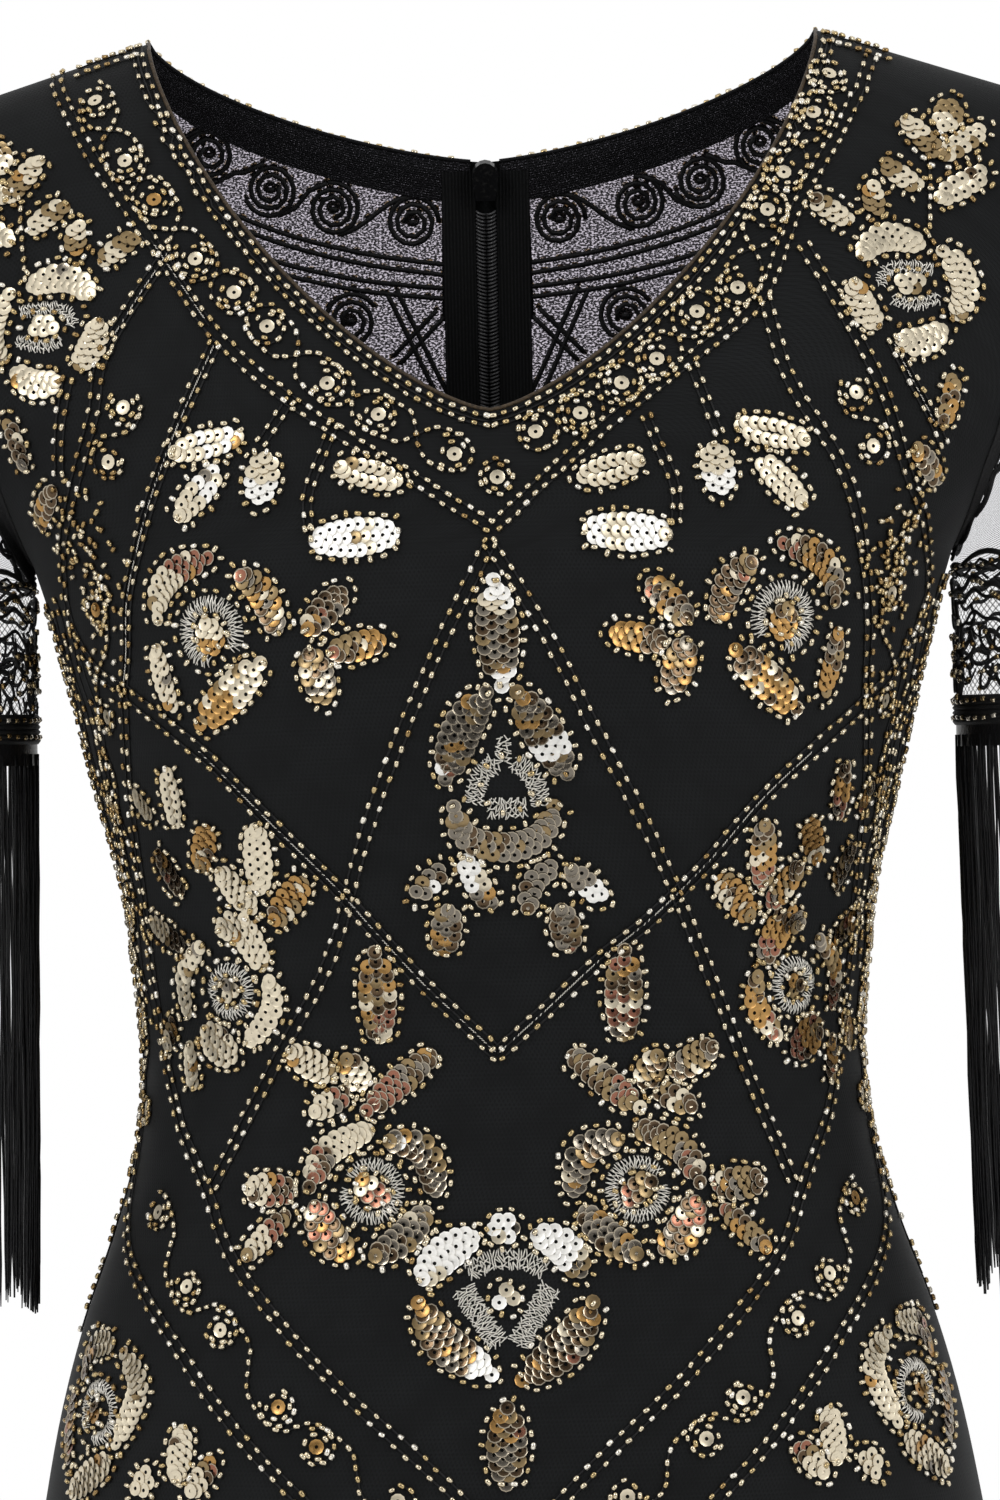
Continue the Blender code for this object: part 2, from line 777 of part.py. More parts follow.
def make_pull(place, look):
    """The tab hangs from its pin. Its local Y runs up towards the pin, and Z points out."""
    pivot = place @ Vector((0.0, LUG_ALONG, PIVOT_OUT))
    turn = place.to_3x3().to_4x4() @ Matrix.Rotation(PULL_REST_TILT, 4, "X")
    slot, neck, wide = PULL_SLOT_HALF_WIDTH, PULL_NECK_HALF_WIDTH, PULL_HALF_WIDTH
    bottom = -PULL_LENGTH + wide
    outline = [(slot, PULL_HEAD), (slot, -PULL_ARM_LENGTH), (-slot, -PULL_ARM_LENGTH), (-slot, PULL_HEAD)]
    outline += [(-neck, PULL_HEAD), (-neck, -PULL_ARM_LENGTH)]
    outline += circle(wide, ROUND_STEPS, (0.0, bottom), math.pi, math.pi, closed=False)
    outline += [(neck, -PULL_ARM_LENGTH), (neck, PULL_HEAD)]
    half = PULL_THICKNESS / 2.0
    pull = prism("zip_pull", outline, -half, half, look, turn)
    pin_turn = turn @ Matrix.Rotation(math.pi / 2.0, 4, "Y")
    reach = mix(slot, neck, 0.5)
    pin = prism("pull_pin", circle(PIVOT_PIN_RADIUS, 12), -reach, reach, look, pin_turn)
    pull.location = pivot
    pin.location = pivot
    join_with(pull, pin, "UNION")


def main():
    for old in list(bpy.data.objects):
        bpy.data.objects.remove(old)
    black_jersey = material("black_jersey", (0.012, 0.013, 0.014), 0.85)
    black_mesh = material("black_mesh", (0.016, 0.016, 0.018), 0.80)
    black_lace = material("black_lace", (0.020, 0.018, 0.014), 0.60)
    black_fringe = material("black_fringe", (0.010, 0.010, 0.011), 0.55)
    black_tape = material("black_tape", (0.014, 0.014, 0.015), 0.80)
    black_coil = material("black_coil", (0.010, 0.010, 0.010), 0.45)
    black_metal = material("black_metal", (0.012, 0.012, 0.012), 0.35, 0.6)

    front_points, front_directions = half_panel(FRONT)
    back_points, back_directions = half_panel(BACK)
    front_seam = armhole_seam(front_points, front_directions)
    back_seam = armhole_seam(back_points, back_directions)
    open_seams(FRONT, front_points, front_seam[2])
    open_seams(BACK, back_points, back_seam[2])

    make_front(front_points, front_directions, black_jersey)
    back_inner = make_back(back_points, back_directions, black_jersey)
    make_sleeves(front_seam, back_seam, black_mesh)
    make_cuffs(black_lace)
    for word, side in SIDES:
        make_fringe(f"fringe_{word}", side, black_fringe)
    make_neck_facings(back_inner, back_directions, black_jersey)
    make_zip(back_inner, back_directions, black_tape, black_coil, black_metal)


main()
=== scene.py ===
"""Looks for the flapper dress: cloth, net, sequins, beads, cord, lace, fringe and zip.

Metres, +Z up, the front faces -Y and the wearer's left is +X, as in the CAD. Cloth is charted
by two numbers: u, the distance round from the centre line of the front or back, and z.
"""

import json
import math

import bpy
import numpy as np
from mathutils import Vector
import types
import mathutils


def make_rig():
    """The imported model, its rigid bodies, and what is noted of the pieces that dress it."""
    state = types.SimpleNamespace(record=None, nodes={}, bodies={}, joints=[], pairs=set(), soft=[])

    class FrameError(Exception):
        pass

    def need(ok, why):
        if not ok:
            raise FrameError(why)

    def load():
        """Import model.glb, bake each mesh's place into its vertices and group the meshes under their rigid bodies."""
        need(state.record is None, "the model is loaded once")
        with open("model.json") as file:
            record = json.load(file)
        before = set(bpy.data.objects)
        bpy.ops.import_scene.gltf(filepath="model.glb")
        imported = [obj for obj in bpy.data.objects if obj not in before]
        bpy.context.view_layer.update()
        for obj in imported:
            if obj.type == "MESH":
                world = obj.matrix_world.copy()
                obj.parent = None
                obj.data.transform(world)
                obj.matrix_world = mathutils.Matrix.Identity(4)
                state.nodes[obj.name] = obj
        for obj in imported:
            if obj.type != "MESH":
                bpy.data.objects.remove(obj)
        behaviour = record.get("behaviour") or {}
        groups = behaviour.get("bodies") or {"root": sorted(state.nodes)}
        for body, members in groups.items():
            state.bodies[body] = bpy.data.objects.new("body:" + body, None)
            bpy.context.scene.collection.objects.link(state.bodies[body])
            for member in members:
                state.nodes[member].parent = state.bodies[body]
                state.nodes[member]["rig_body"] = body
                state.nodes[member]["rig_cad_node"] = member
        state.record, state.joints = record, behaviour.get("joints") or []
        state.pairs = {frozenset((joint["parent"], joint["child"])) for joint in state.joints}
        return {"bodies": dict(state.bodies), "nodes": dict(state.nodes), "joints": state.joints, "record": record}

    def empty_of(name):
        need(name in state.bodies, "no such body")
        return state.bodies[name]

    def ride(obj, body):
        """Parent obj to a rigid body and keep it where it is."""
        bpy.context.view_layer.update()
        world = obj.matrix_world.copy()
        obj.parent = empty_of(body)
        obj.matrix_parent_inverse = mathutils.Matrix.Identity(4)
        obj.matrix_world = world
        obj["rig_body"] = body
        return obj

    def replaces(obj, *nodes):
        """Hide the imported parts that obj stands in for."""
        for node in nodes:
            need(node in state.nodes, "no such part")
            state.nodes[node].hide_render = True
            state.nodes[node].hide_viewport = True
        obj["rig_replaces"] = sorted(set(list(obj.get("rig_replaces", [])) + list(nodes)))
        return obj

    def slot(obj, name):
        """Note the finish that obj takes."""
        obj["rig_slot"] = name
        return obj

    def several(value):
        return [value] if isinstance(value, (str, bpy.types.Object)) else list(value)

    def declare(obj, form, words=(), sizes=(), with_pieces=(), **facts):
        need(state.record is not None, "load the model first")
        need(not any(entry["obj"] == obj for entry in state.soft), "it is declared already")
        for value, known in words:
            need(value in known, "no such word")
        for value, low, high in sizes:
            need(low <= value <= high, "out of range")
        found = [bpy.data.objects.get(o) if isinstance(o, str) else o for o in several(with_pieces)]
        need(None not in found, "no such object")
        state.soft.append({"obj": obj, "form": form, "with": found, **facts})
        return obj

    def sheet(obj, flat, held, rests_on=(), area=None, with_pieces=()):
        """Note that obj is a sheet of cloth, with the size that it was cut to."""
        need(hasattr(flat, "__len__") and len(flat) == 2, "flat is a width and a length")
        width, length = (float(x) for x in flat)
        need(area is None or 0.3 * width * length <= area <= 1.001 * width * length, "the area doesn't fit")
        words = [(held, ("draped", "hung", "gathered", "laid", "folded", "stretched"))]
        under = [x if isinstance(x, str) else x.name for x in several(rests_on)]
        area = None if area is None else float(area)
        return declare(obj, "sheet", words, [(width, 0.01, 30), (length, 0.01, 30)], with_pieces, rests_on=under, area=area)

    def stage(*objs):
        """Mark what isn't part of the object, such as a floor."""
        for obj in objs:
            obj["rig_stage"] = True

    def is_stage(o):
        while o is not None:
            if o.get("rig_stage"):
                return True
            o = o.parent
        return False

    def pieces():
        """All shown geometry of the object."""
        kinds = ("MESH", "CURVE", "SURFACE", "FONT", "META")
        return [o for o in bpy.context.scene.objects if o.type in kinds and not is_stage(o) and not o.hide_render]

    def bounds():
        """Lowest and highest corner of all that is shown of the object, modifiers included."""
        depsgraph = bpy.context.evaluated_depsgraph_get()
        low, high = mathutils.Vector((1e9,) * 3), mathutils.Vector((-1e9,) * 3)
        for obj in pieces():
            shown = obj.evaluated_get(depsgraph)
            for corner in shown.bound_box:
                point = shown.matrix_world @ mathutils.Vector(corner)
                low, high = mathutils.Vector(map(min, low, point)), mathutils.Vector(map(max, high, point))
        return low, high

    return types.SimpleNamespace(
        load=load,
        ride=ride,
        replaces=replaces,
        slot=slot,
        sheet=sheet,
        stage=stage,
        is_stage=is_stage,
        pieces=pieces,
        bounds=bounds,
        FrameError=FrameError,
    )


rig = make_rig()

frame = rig.load()
cad_box = [list(corner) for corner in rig.bounds()]

FRONT, BACK = -1, 1
SIDES = (("left", 1), ("right", -1))
BODY = "dress"

# ---------------------------------------------------------------- the worn form, as in the CAD

NECK_HALF_WIDTH = 0.115
NECK_DROP = {FRONT: 0.133, BACK: 0.0385}
NECKLINE_EXPONENT = 1.42
SHOULDER_TIP_X, SHOULDER_TIP_Z = 0.190, -0.024
SHOULDER_SLOPE = -SHOULDER_TIP_Z / (SHOULDER_TIP_X - NECK_HALF_WIDTH)
SHOULDER_FADE_TOP = -0.060
UNDERARM_Z = -0.180
HEM_Z = -0.950
EXPONENT = 2.3
# Depth above the underarm: its slope, and the depth, length and power of the lip at the top
UPPER_FORM = {FRONT: (0.53, 0.026, 0.020, 0.5), BACK: (0.18, 0.075, 0.040, 0.7)}
BUST_START, BUST_BEND = 0.120, 1.9
# height, half width, front depth, back depth
SECTIONS = np.array(
    (
        (-0.950, 0.1650, 0.1020, 0.1140),
        (-0.820, 0.1672, 0.1040, 0.1180),
        (-0.700, 0.1692, 0.1060, 0.1225),
        (-0.600, 0.1700, 0.1080, 0.1270),
        (-0.545, 0.1676, 0.1080, 0.1290),
        (-0.505, 0.1614, 0.1060, 0.1270),
        (-0.470, 0.1545, 0.1030, 0.1230),
        (-0.440, 0.1461, 0.0990, 0.1160),
        (-0.410, 0.1352, 0.0950, 0.1060),
        (-0.380, 0.1265, 0.0920, 0.0970),
        (-0.350, 0.1236, 0.0912, 0.0922),
        (-0.320, 0.1258, 0.0962, 0.0940),
        (-0.290, 0.1296, 0.1052, 0.0982),
        (-0.255, 0.1382, 0.1172, 0.1030),
        (-0.225, 0.1452, 0.1218, 0.1066),
        (-0.200, 0.1518, 0.1194, 0.1076),
        (-0.180, 0.1580, 0.1146, 0.1068),
    )
)
# height, half width of the armhole seam
ARMHOLE = np.array(
    (
        (-0.180, 0.1580),
        (-0.165, 0.1632),
        (-0.151, 0.1678),
        (-0.139, 0.1722),
        (-0.120, 0.1765),
        (-0.090, 0.1795),
        (-0.050, 0.1845),
        (-0.024, 0.1900),
    )
)
ARMHOLE_REACH = {FRONT: 0.92, BACK: 0.86}
FOLD_TOP_Z = -0.580
# degrees round from the centre front, depth at the hem, half width in degrees
FOLDS = (
    (-152.0, 0.0050, 12.0),
    (-118.0, 0.0042, 10.0),
    (-84.0, 0.0036, 12.0),
    (-49.0, 0.0048, 11.0),
    (-17.0, 0.0034, 10.0),
    (21.0, 0.0046, 11.0),
    (58.0, 0.0038, 12.0),
    (96.0, 0.0044, 10.0),
    (129.0, 0.0036, 11.0),
    (161.0, 0.0046, 10.0),
)
# Soft drag lines: side, start (u, z), end (u, z), height, half width, all in mm
CREASES = (
    (FRONT, (-128, -352), (-52, -338), 1.0, 6.5),
    (FRONT, (-120, -334), (-70, -322), -0.7, 5.5),
    (FRONT, (60, -341), (140, -352), 1.0, 7.0),
    (FRONT, (74, -324), (128, -336), -0.7, 5.5),
    (FRONT, (-40, -366), (44, -362), 0.6, 6.0),
    (FRONT, (-146, -262), (-92, -236), 0.8, 8.0),
    (FRONT, (96, -240), (150, -268), 0.8, 8.0),
    (FRONT, (-60, -470), (30, -474), 0.5, 9.0),
    (FRONT, (-168, -190), (-128, -150), 0.9, 8.0),
    (FRONT, (132, -152), (170, -194), 0.9, 8.0),
    (BACK, (-120, -350), (-30, -338), 1.1, 7.0),
    (BACK, (30, -340), (124, -352), 1.1, 7.0),
    (BACK, (-110, -372), (-24, -362), -0.8, 6.5),
    (BACK, (26, -364), (112, -374), -0.8, 6.5),
    (BACK, (-150, -200), (-100, -160), 0.9, 8.0),
    (BACK, (104, -162), (150, -204), 0.9, 8.0),
)

TUBE_X, TUBE_HALF_WIDTH, TUBE_HALF_DEPTH = 0.2065, 0.048, 0.050
CUFF_TOP_Z, CUFF_BOTTOM_Z = -0.190, -0.240
HEADER_BOTTOM_Z = -0.248
FRINGE_BOTTOM_Z = -0.4365
FRINGE_LEAN = 0.0034
# The zip is kept free of beads, from the neck down to its lower end
ZIP_CLEARANCE, ZIP_END_Z = 0.0032, -0.430


def mix(start, end, share):
    return start + (end - start) * share


def ease(share):
    share = np.clip(share, 0.0, 1.0)
    return share * share * (3.0 - 2.0 * share)


def unit(vectors):
    return vectors / np.maximum(np.linalg.norm(vectors, axis=-1, keepdims=True), 1e-12)


def circle(turn):
    return np.stack([np.cos(turn), np.sin(turn)], axis=-1)


def directions(line):
    return unit(np.gradient(line, axis=0))


def leftward(along):
    """A quarter turn left of these directions in the chart."""
    return np.stack([-along[:, 1], along[:, 0]], 1)


def run_along(line):
    """The length from a line's first point to each of its points."""
    return np.concatenate([[0.0], np.cumsum(np.linalg.norm(np.diff(line, axis=0), axis=1))])


def hermite(start, leaving, end, arriving, share):
    """A smooth blend from start to end, with the slopes that it leaves and arrives with."""
    square, cube = share**2, share**3
    return (
        start * (2 * cube - 3 * square + 1)
        + leaving * (cube - 2 * square + share)
        + end * (3 * square - 2 * cube)
        + arriving * (cube - square)
    )


def lookup(table, column, height):
    """One column's value at these heights, on a smooth curve through the table's rows."""
    levels, values = table[:, 0], table[:, column]
    slopes = np.empty(len(levels))
    slopes[1:-1] = (values[2:] - values[:-2]) / (levels[2:] - levels[:-2])
    slopes[0] = (values[1] - values[0]) / (levels[1] - levels[0])
    slopes[-1] = (values[-1] - values[-2]) / (levels[-1] - levels[-2])
    height = np.clip(height, levels[0], levels[-1])
    low = np.clip(np.searchsorted(levels, height, side="right") - 1, 0, len(levels) - 2)
    span = levels[low + 1] - levels[low]
    share = (height - levels[low]) / span
    return hermite(values[low], slopes[low] * span, values[low + 1], slopes[low + 1] * span, share)


def depth(side, x, z):
    fade = ease((z - UNDERARM_Z) / (SHOULDER_FADE_TOP - UNDERARM_Z))
    drop = np.maximum(np.abs(x) - NECK_HALF_WIDTH, 0.0) * SHOULDER_SLOPE
    below = np.maximum(-z - drop * fade, 0.0)
    slope, lip, reach, power = UPPER_FORM[side]
    upper = slope * below + lip * (1.0 - np.exp(-below / reach)) ** power
    if side == FRONT:
        upper = upper - BUST_BEND * np.maximum(below - BUST_START, 0.0) ** 2
    return np.where(z <= UNDERARM_Z, lookup(SECTIONS, 2 if side == FRONT else 3, z), upper)


def half_width(side, z):
    height = np.clip((z - UNDERARM_Z) / (SHOULDER_TIP_Z - UNDERARM_Z), 0.0, 1.0)
    reach = ARMHOLE_REACH[side] * np.sin(np.arccos(1.0 - 2.0 * height) / 2.0)
    flat = (1.0 - reach**EXPONENT) ** (1.0 / EXPONENT)
    return np.where(z <= UNDERARM_Z, lookup(SECTIONS, 1, z), lookup(ARMHOLE, 1, z) / flat)


def form_angle(side, x, z):
    """The form's angle where the cloth lies this far, x, from the centre plane."""
    ratio = np.clip(np.abs(x) / half_width(side, z), 0.0, 1.0)
    return np.arcsin(ratio ** (EXPONENT / 2.0)) * np.sign(x)


def form(side, angle, z):
    """Points of the worn form. angle runs from 0 at the centre line to a quarter turn."""
    wide = half_width(side, z)
    x = wide * np.sign(angle) * np.abs(np.sin(angle)) ** (2.0 / EXPONENT)
    y = side * depth(side, x, z) * np.abs(np.cos(angle)) ** (2.0 / EXPONENT)
    growth = ease((FOLD_TOP_Z - z) / (FOLD_TOP_Z - HEM_Z))
    around = np.degrees(np.arctan2(x, -y))
    push = 0.0
    for degrees, crest, spread in FOLDS:
        away = (around - degrees + 180.0) % 360.0 - 180.0
        push = push + crest * np.exp(-((away / spread) ** 2))
    scale = 1.0 + growth * push / np.maximum(np.hypot(x, y), 0.01)
    return np.stack([x * scale, y * scale, z + 0.0 * x], axis=-1)


def form_normal(side, angle, z):
    step = 0.002
    quarter = math.pi / 2.0 - 1e-6
    across = form(side, np.clip(angle + step, -quarter, quarter), z)
    across = across - form(side, np.clip(angle - step, -quarter, quarter), z)
    up = form(side, angle, np.minimum(z + step, 0.0)) - form(side, angle, z - step)
    normal = unit(np.cross(across, up))
    return normal if side == FRONT else -normal


LEVELS = np.linspace(HEM_Z, 0.0, 381)
SHARES = np.linspace(0.0, 1.0, 129)


def chart(side):
    """For each level, the angles that lie evenly along the cloth, and the cloth's length."""
    fine = np.linspace(0.0, math.pi / 2.0, 500)
    angles, lengths = [], []
    for z in LEVELS:
        run = run_along(form(side, fine, z + 0.0 * fine))
        angles.append(np.interp(SHARES * run[-1], run, fine))
        lengths.append(run[-1])
    return np.array(angles), np.array(lengths)


CHART = {side: chart(side) for side in (FRONT, BACK)}


def girth(side, z):
    return np.interp(z, LEVELS, CHART[side][1])


def angle_at(side, u, z):
    level = np.clip((z - LEVELS[0]) / (LEVELS[1] - LEVELS[0]), 0, len(LEVELS) - 1.001)
    share = np.clip(np.abs(u) / girth(side, z), 0, 1) * (len(SHARES) - 1)
    share = np.minimum(share, len(SHARES) - 1.001)
    i, j = level.astype(int), share.astype(int)
    a, b = level - i, share - j
    angles = CHART[side][0]
    low = angles[i, j] * (1 - b) + angles[i, j + 1] * b
    high = angles[i + 1, j] * (1 - b) + angles[i + 1, j + 1] * b
    return np.sign(u) * mix(low, high, a)


def u_at(side, angle, z):
    """Distance round from the centre line. All three may be arrays of one shape."""
    level = np.clip(np.rint((z - LEVELS[0]) / (LEVELS[1] - LEVELS[0])), 0, len(LEVELS) - 1)
    angles, lengths = CHART[side]
    flat = [
        np.interp(abs(a), angles[int(i)], SHARES) * lengths[int(i)] * math.copysign(1.0, a)
        for a, i in zip(np.ravel(angle), np.ravel(level))
    ]
    return np.reshape(flat, np.shape(angle))


def crease(side, u, z):
    """How far the drag lines lift the cloth."""
    height = np.zeros(np.shape(u))
    for which, start, end, tall, spread in CREASES:
        if which != side:
            continue
        ax, ay, bx, by = np.array((*start, *end)) / 1e3
        length = math.hypot(bx - ax, by - ay)
        dx, dy = (bx - ax) / length, (by - ay) / length
        along = ((u - ax) * dx + (z - ay) * dy) / length
        off = (u - ax) * dy - (z - ay) * dx
        taper = np.sin(np.pi * np.clip(along, 0.0, 1.0)) ** 1.5
        height = height + tall / 1e3 * taper * np.exp(-((off / (spread / 1e3)) ** 2))
    return height


def wrapped(side, u, z):
    """Which panel each (u, z) falls on once it is carried round the side seam, and its u."""
    own = girth(side, z)
    over = (np.abs(u) > own) & (z <= UNDERARM_Z)
    turned = np.sign(u) * (own + girth(-side, z) - np.abs(u))
    return np.where(over, -side, side), np.where(over, turned, u), over


def on_cloth(side, u, z):
    """(point, outward normal, direction of growing u, direction up) for arrays of u and z."""
    u, z = np.broadcast_arrays(np.asarray(u, float), np.asarray(z, float))
    panel, uu, over = wrapped(side, u, z)
    point, normal = np.empty(u.shape + (3,)), np.empty(u.shape + (3,))
    for part in (FRONT, BACK):
        which = panel == part
        if which.any():
            angle = angle_at(part, uu[which], z[which])
            normal[which] = form_normal(part, angle, z[which])
            lift = crease(part, uu[which], z[which])[..., None]
            point[which] = form(part, angle, z[which]) + normal[which] * lift
    up = np.zeros_like(point)
    up[..., 2] = 1.0
    up = unit(up - normal * np.sum(up * normal, axis=-1, keepdims=True))
    across = np.cross(up, normal)
    # On the front, growing u runs along +X, and so does up x normal. On the back it is reversed.
    flip = np.where(panel == FRONT, 1.0, -1.0) * np.where(over, -1.0, 1.0)
    return point, normal, across * flip[..., None], up


def neckline_z(side, x):
    share = np.clip(np.abs(x) / NECK_HALF_WIDTH, 0.0, 1.0)
    return -NECK_DROP[side] * (1.0 - share**NECKLINE_EXPONENT) ** (1.0 / NECKLINE_EXPONENT)


def inside_panel(side, u, z, margin):
    """True where a point of the chart lies on the panel, at least margin from its edges."""
    panel, uu, _ = wrapped(side, u, z)
    keep = np.ones(u.shape, bool)
    for part in (FRONT, BACK):
        which = panel == part
        if not which.any():
            continue
        zz = z[which]
        x = form(part, angle_at(part, uu[which], zz), zz)[..., 0]
        top = np.where(
            np.abs(x) < NECK_HALF_WIDTH,
            neckline_z(part, x),
            -(np.abs(x) - NECK_HALF_WIDTH) * SHOULDER_SLOPE,
        )
        good = (zz < top - margin) & (zz > HEM_Z + margin)
        good &= (zz <= UNDERARM_Z) | (np.abs(x) < lookup(ARMHOLE, 1, zz) - margin)
        if part == BACK:
            good &= (np.abs(uu[which]) > ZIP_CLEARANCE) | (zz < ZIP_END_Z)
        keep[which] = good
    return keep


# ---------------------------------------------------------------- mesh making


def link(name, points, faces, looks, indices=None, uv=None):
    """A mesh object from arrays. faces is an (n, 3) or (n, 4) array, or a list of such."""
    blocks = [np.asarray(block) for block in (faces if isinstance(faces, list) else [faces])]
    loops = np.concatenate([block.ravel() for block in blocks])
    sizes = np.concatenate([np.full(len(block), block.shape[1]) for block in blocks])
    starts = np.concatenate([[0], np.cumsum(sizes)[:-1]])
    mesh = bpy.data.meshes.new(name)
    mesh.vertices.add(len(points))
    mesh.vertices.foreach_set("co", np.asarray(points, np.float32).ravel())
    mesh.loops.add(len(loops))
    mesh.loops.foreach_set("vertex_index", loops.astype(np.int32))
    mesh.polygons.add(len(sizes))
    mesh.polygons.foreach_set("loop_start", starts.astype(np.int32))
    mesh.polygons.foreach_set("loop_total", sizes.astype(np.int32))
    for look in looks:
        mesh.materials.append(look)
    if indices is not None:
        mesh.polygons.foreach_set("material_index", np.asarray(indices, np.int32))
    if uv is not None:
        layer = mesh.uv_layers.new(name="cloth")
        layer.uv.foreach_set("vector", np.asarray(uv, np.float32)[loops].ravel())
    mesh.update(calc_edges=True)
    mesh.validate()
    mesh.shade_smooth()
    made = bpy.data.objects.new(name, mesh)
    bpy.context.scene.collection.objects.link(made)
    return made


def grid_faces(rows, columns, ring=False, flip=False):
    """Quads of a grid of points, row by row."""
    k = np.arange(columns if ring else columns - 1)
    after = (k + 1) % columns
    low = np.arange(rows - 1)[:, None] * columns
    quads = np.stack([low + k, low + after, low + columns + after, low + columns + k], axis=-1)
    quads = quads.reshape(-1, 4)
    return quads[:, ::-1] if flip else quads


def grid_uv(grid):
    """Lengths along the rows and columns of a grid of points, for a weave at its true scale."""
    across = np.linalg.norm(np.diff(grid, axis=1), axis=2)
    down = np.linalg.norm(np.diff(grid, axis=0), axis=2)
    u = np.concatenate([np.zeros((len(grid), 1)), np.cumsum(across, axis=1)], axis=1)
    v = np.concatenate([np.zeros((1, grid.shape[1])), np.cumsum(down, axis=0)], axis=0)
    return np.stack([u, v], axis=-1).reshape(-1, 2)


def grid_mesh(name, grid, looks, flip=False):
    """A sheet through a grid of points."""
    faces = grid_faces(*grid.shape[:2], flip=flip)
    return link(name, grid.reshape(-1, 3), faces, looks, uv=grid_uv(grid))


def stamped(template, faces, centres, axes):
    """Copies of a small mesh, each with its own centre and three axes."""
    points = centres[:, None, :] + np.einsum("vk,nkc->nvc", template, axes)
    shift = (np.arange(len(centres)) * len(template))[:, None, None]
    return points.reshape(-1, 3), (faces[None] + shift).reshape(-1, faces.shape[1])


def smooth_line(points, spacing):
    """A smooth curve through points, (n, k), with steps of about this length."""
    points = np.asarray(points, float)
    if len(points) == 2:
        dense = mix(points[0], points[1], np.linspace(0, 1, 40)[:, None])
    else:
        ends = np.vstack([2 * points[0] - points[1], points, 2 * points[-1] - points[-2]])
        share = np.linspace(0.0, 1.0, 24, endpoint=False)[:, None]
        parts = []
        for a, b, c, d in zip(ends, ends[1:], ends[2:], ends[3:]):
            parts.append(
                b
                + (c - a) / 2 * share
                + (2 * a - 5 * b + 4 * c - d) / 2 * share**2
                + (3 * b - a - 3 * c + d) / 2 * share**3
            )
        dense = np.vstack(parts + [points[-1:]])
    run = run_along(dense)
    count = max(int(round(run[-1] / spacing)), 1)
    wanted = np.linspace(0.0, run[-1], count + 1)
    return np.stack([np.interp(wanted, run, dense[:, k]) for k in range(dense.shape[1])], 1)


def tube(points, normals, radius, sides, flat=1.0, ends=True):
    """Points and faces of a tube that follows points. flat squashes it along the normals."""
    points, normals = np.asarray(points), np.asarray(normals)
    along = directions(points)
    side = unit(np.cross(along, normals))
    over = np.cross(side, along)
    turn = np.linspace(0.0, 2 * math.pi, sides, endpoint=False)
    radius = np.broadcast_to(radius, (len(points),))[:, None, None]
    rings = points[:, None] + radius * (
        side[:, None] * np.cos(turn)[None, :, None]
        + over[:, None] * np.sin(turn)[None, :, None] * flat
    )
    rings = rings.reshape(-1, 3)
    faces = grid_faces(len(points), sides, ring=True)
    if not ends:
        return rings, [faces]
    foot = np.arange(sides)
    after = (foot + 1) % sides
    head = (len(points) - 1) * sides
    tip = np.full(sides, len(rings))
    caps = [np.stack([after, foot, tip], 1), np.stack([head + foot, head + after, tip + 1], 1)]
    return np.vstack([rings, points[:1], points[-1:]]), [faces, np.vstack(caps)]


class Heap:
    """Gathers meshes with a few materials into one object."""

    def __init__(self):
        self.points, self.quads, self.triangles, self.count = [], [], [], 0

    def add(self, points, blocks, look=0):
        for block in blocks if isinstance(blocks, list) else [blocks]:
            target = self.quads if block.shape[1] == 4 else self.triangles
            target.append((block + self.count, np.broadcast_to(look, (len(block),))))
        self.points.append(points)
        self.count += len(points)

    def object(self, name, looks):
        blocks, indices = [], []
        for group in (self.quads, self.triangles):
            if group:
                blocks.append(np.vstack([faces for faces, _ in group]))
                indices.append(np.concatenate([look for _, look in group]))
        return link(name, np.vstack(self.points), blocks, looks, np.concatenate(indices))


# ---------------------------------------------------------------- materials


def shader(name, colour, roughness, metallic=0.0, **others):
    """A material and its Principled shader. Other sockets are named with _ for a space."""
    made = bpy.data.materials.new(name)
    made.use_nodes = True
    main = made.node_tree.nodes["Principled BSDF"]
    main.inputs["Base Color"].default_value = (*colour, 1.0)
    main.inputs["Roughness"].default_value = roughness
    main.inputs["Metallic"].default_value = metallic
    for key, value in others.items():
        main.inputs[key.replace("_", " ")].default_value = value
    return made, main


def node(made, kind, **settings):
    new = made.node_tree.nodes.new(kind)
    for key, value in settings.items():
        if key in new.inputs:
            new.inputs[key].default_value = value
        else:
            setattr(new, key, value)
    return new


def wire(made, source, target):
    made.node_tree.links.new(source, target)


def coordinates(made, kind, scale=(1.0, 1.0, 1.0)):
    where = node(made, "ShaderNodeTexCoord")
    mapping = node(made, "ShaderNodeMapping", Scale=scale)
    wire(made, where.outputs[kind], mapping.inputs["Vector"])
    return mapping.outputs["Vector"]


def noise(made, vector, scale, detail, **others):
    new = node(made, "ShaderNodeTexNoise", Scale=scale, Detail=detail, **others)
    wire(made, vector, new.inputs["Vector"])
    return new.outputs["Fac"]


def ramp(made, source, stops):
    new = node(made, "ShaderNodeValToRGB")
    elements = new.color_ramp.elements
    for k, (place, colour) in enumerate(stops):
        element = elements[k] if k < 2 else elements.new(place)
        element.position, element.color = place, (*colour, 1.0)
    wire(made, source, new.inputs["Fac"])
    return new.outputs["Color"]


def grey(level):
    return (level, level, level)


def scaled(colour, factor):
    return tuple(min(c * factor, 1.0) for c in colour)


def colour_by(made, main, source, stops):
    """Lets the base colour follow source through the stops of a ramp."""
    wire(made, ramp(made, source, stops), main.inputs["Base Color"])


def bump(made, main, source, distance, strength):
    new = node(made, "ShaderNodeBump", Distance=distance, Strength=strength)
    wire(made, source, new.inputs["Height"])
    wire(made, new.outputs["Normal"], main.inputs["Normal"])


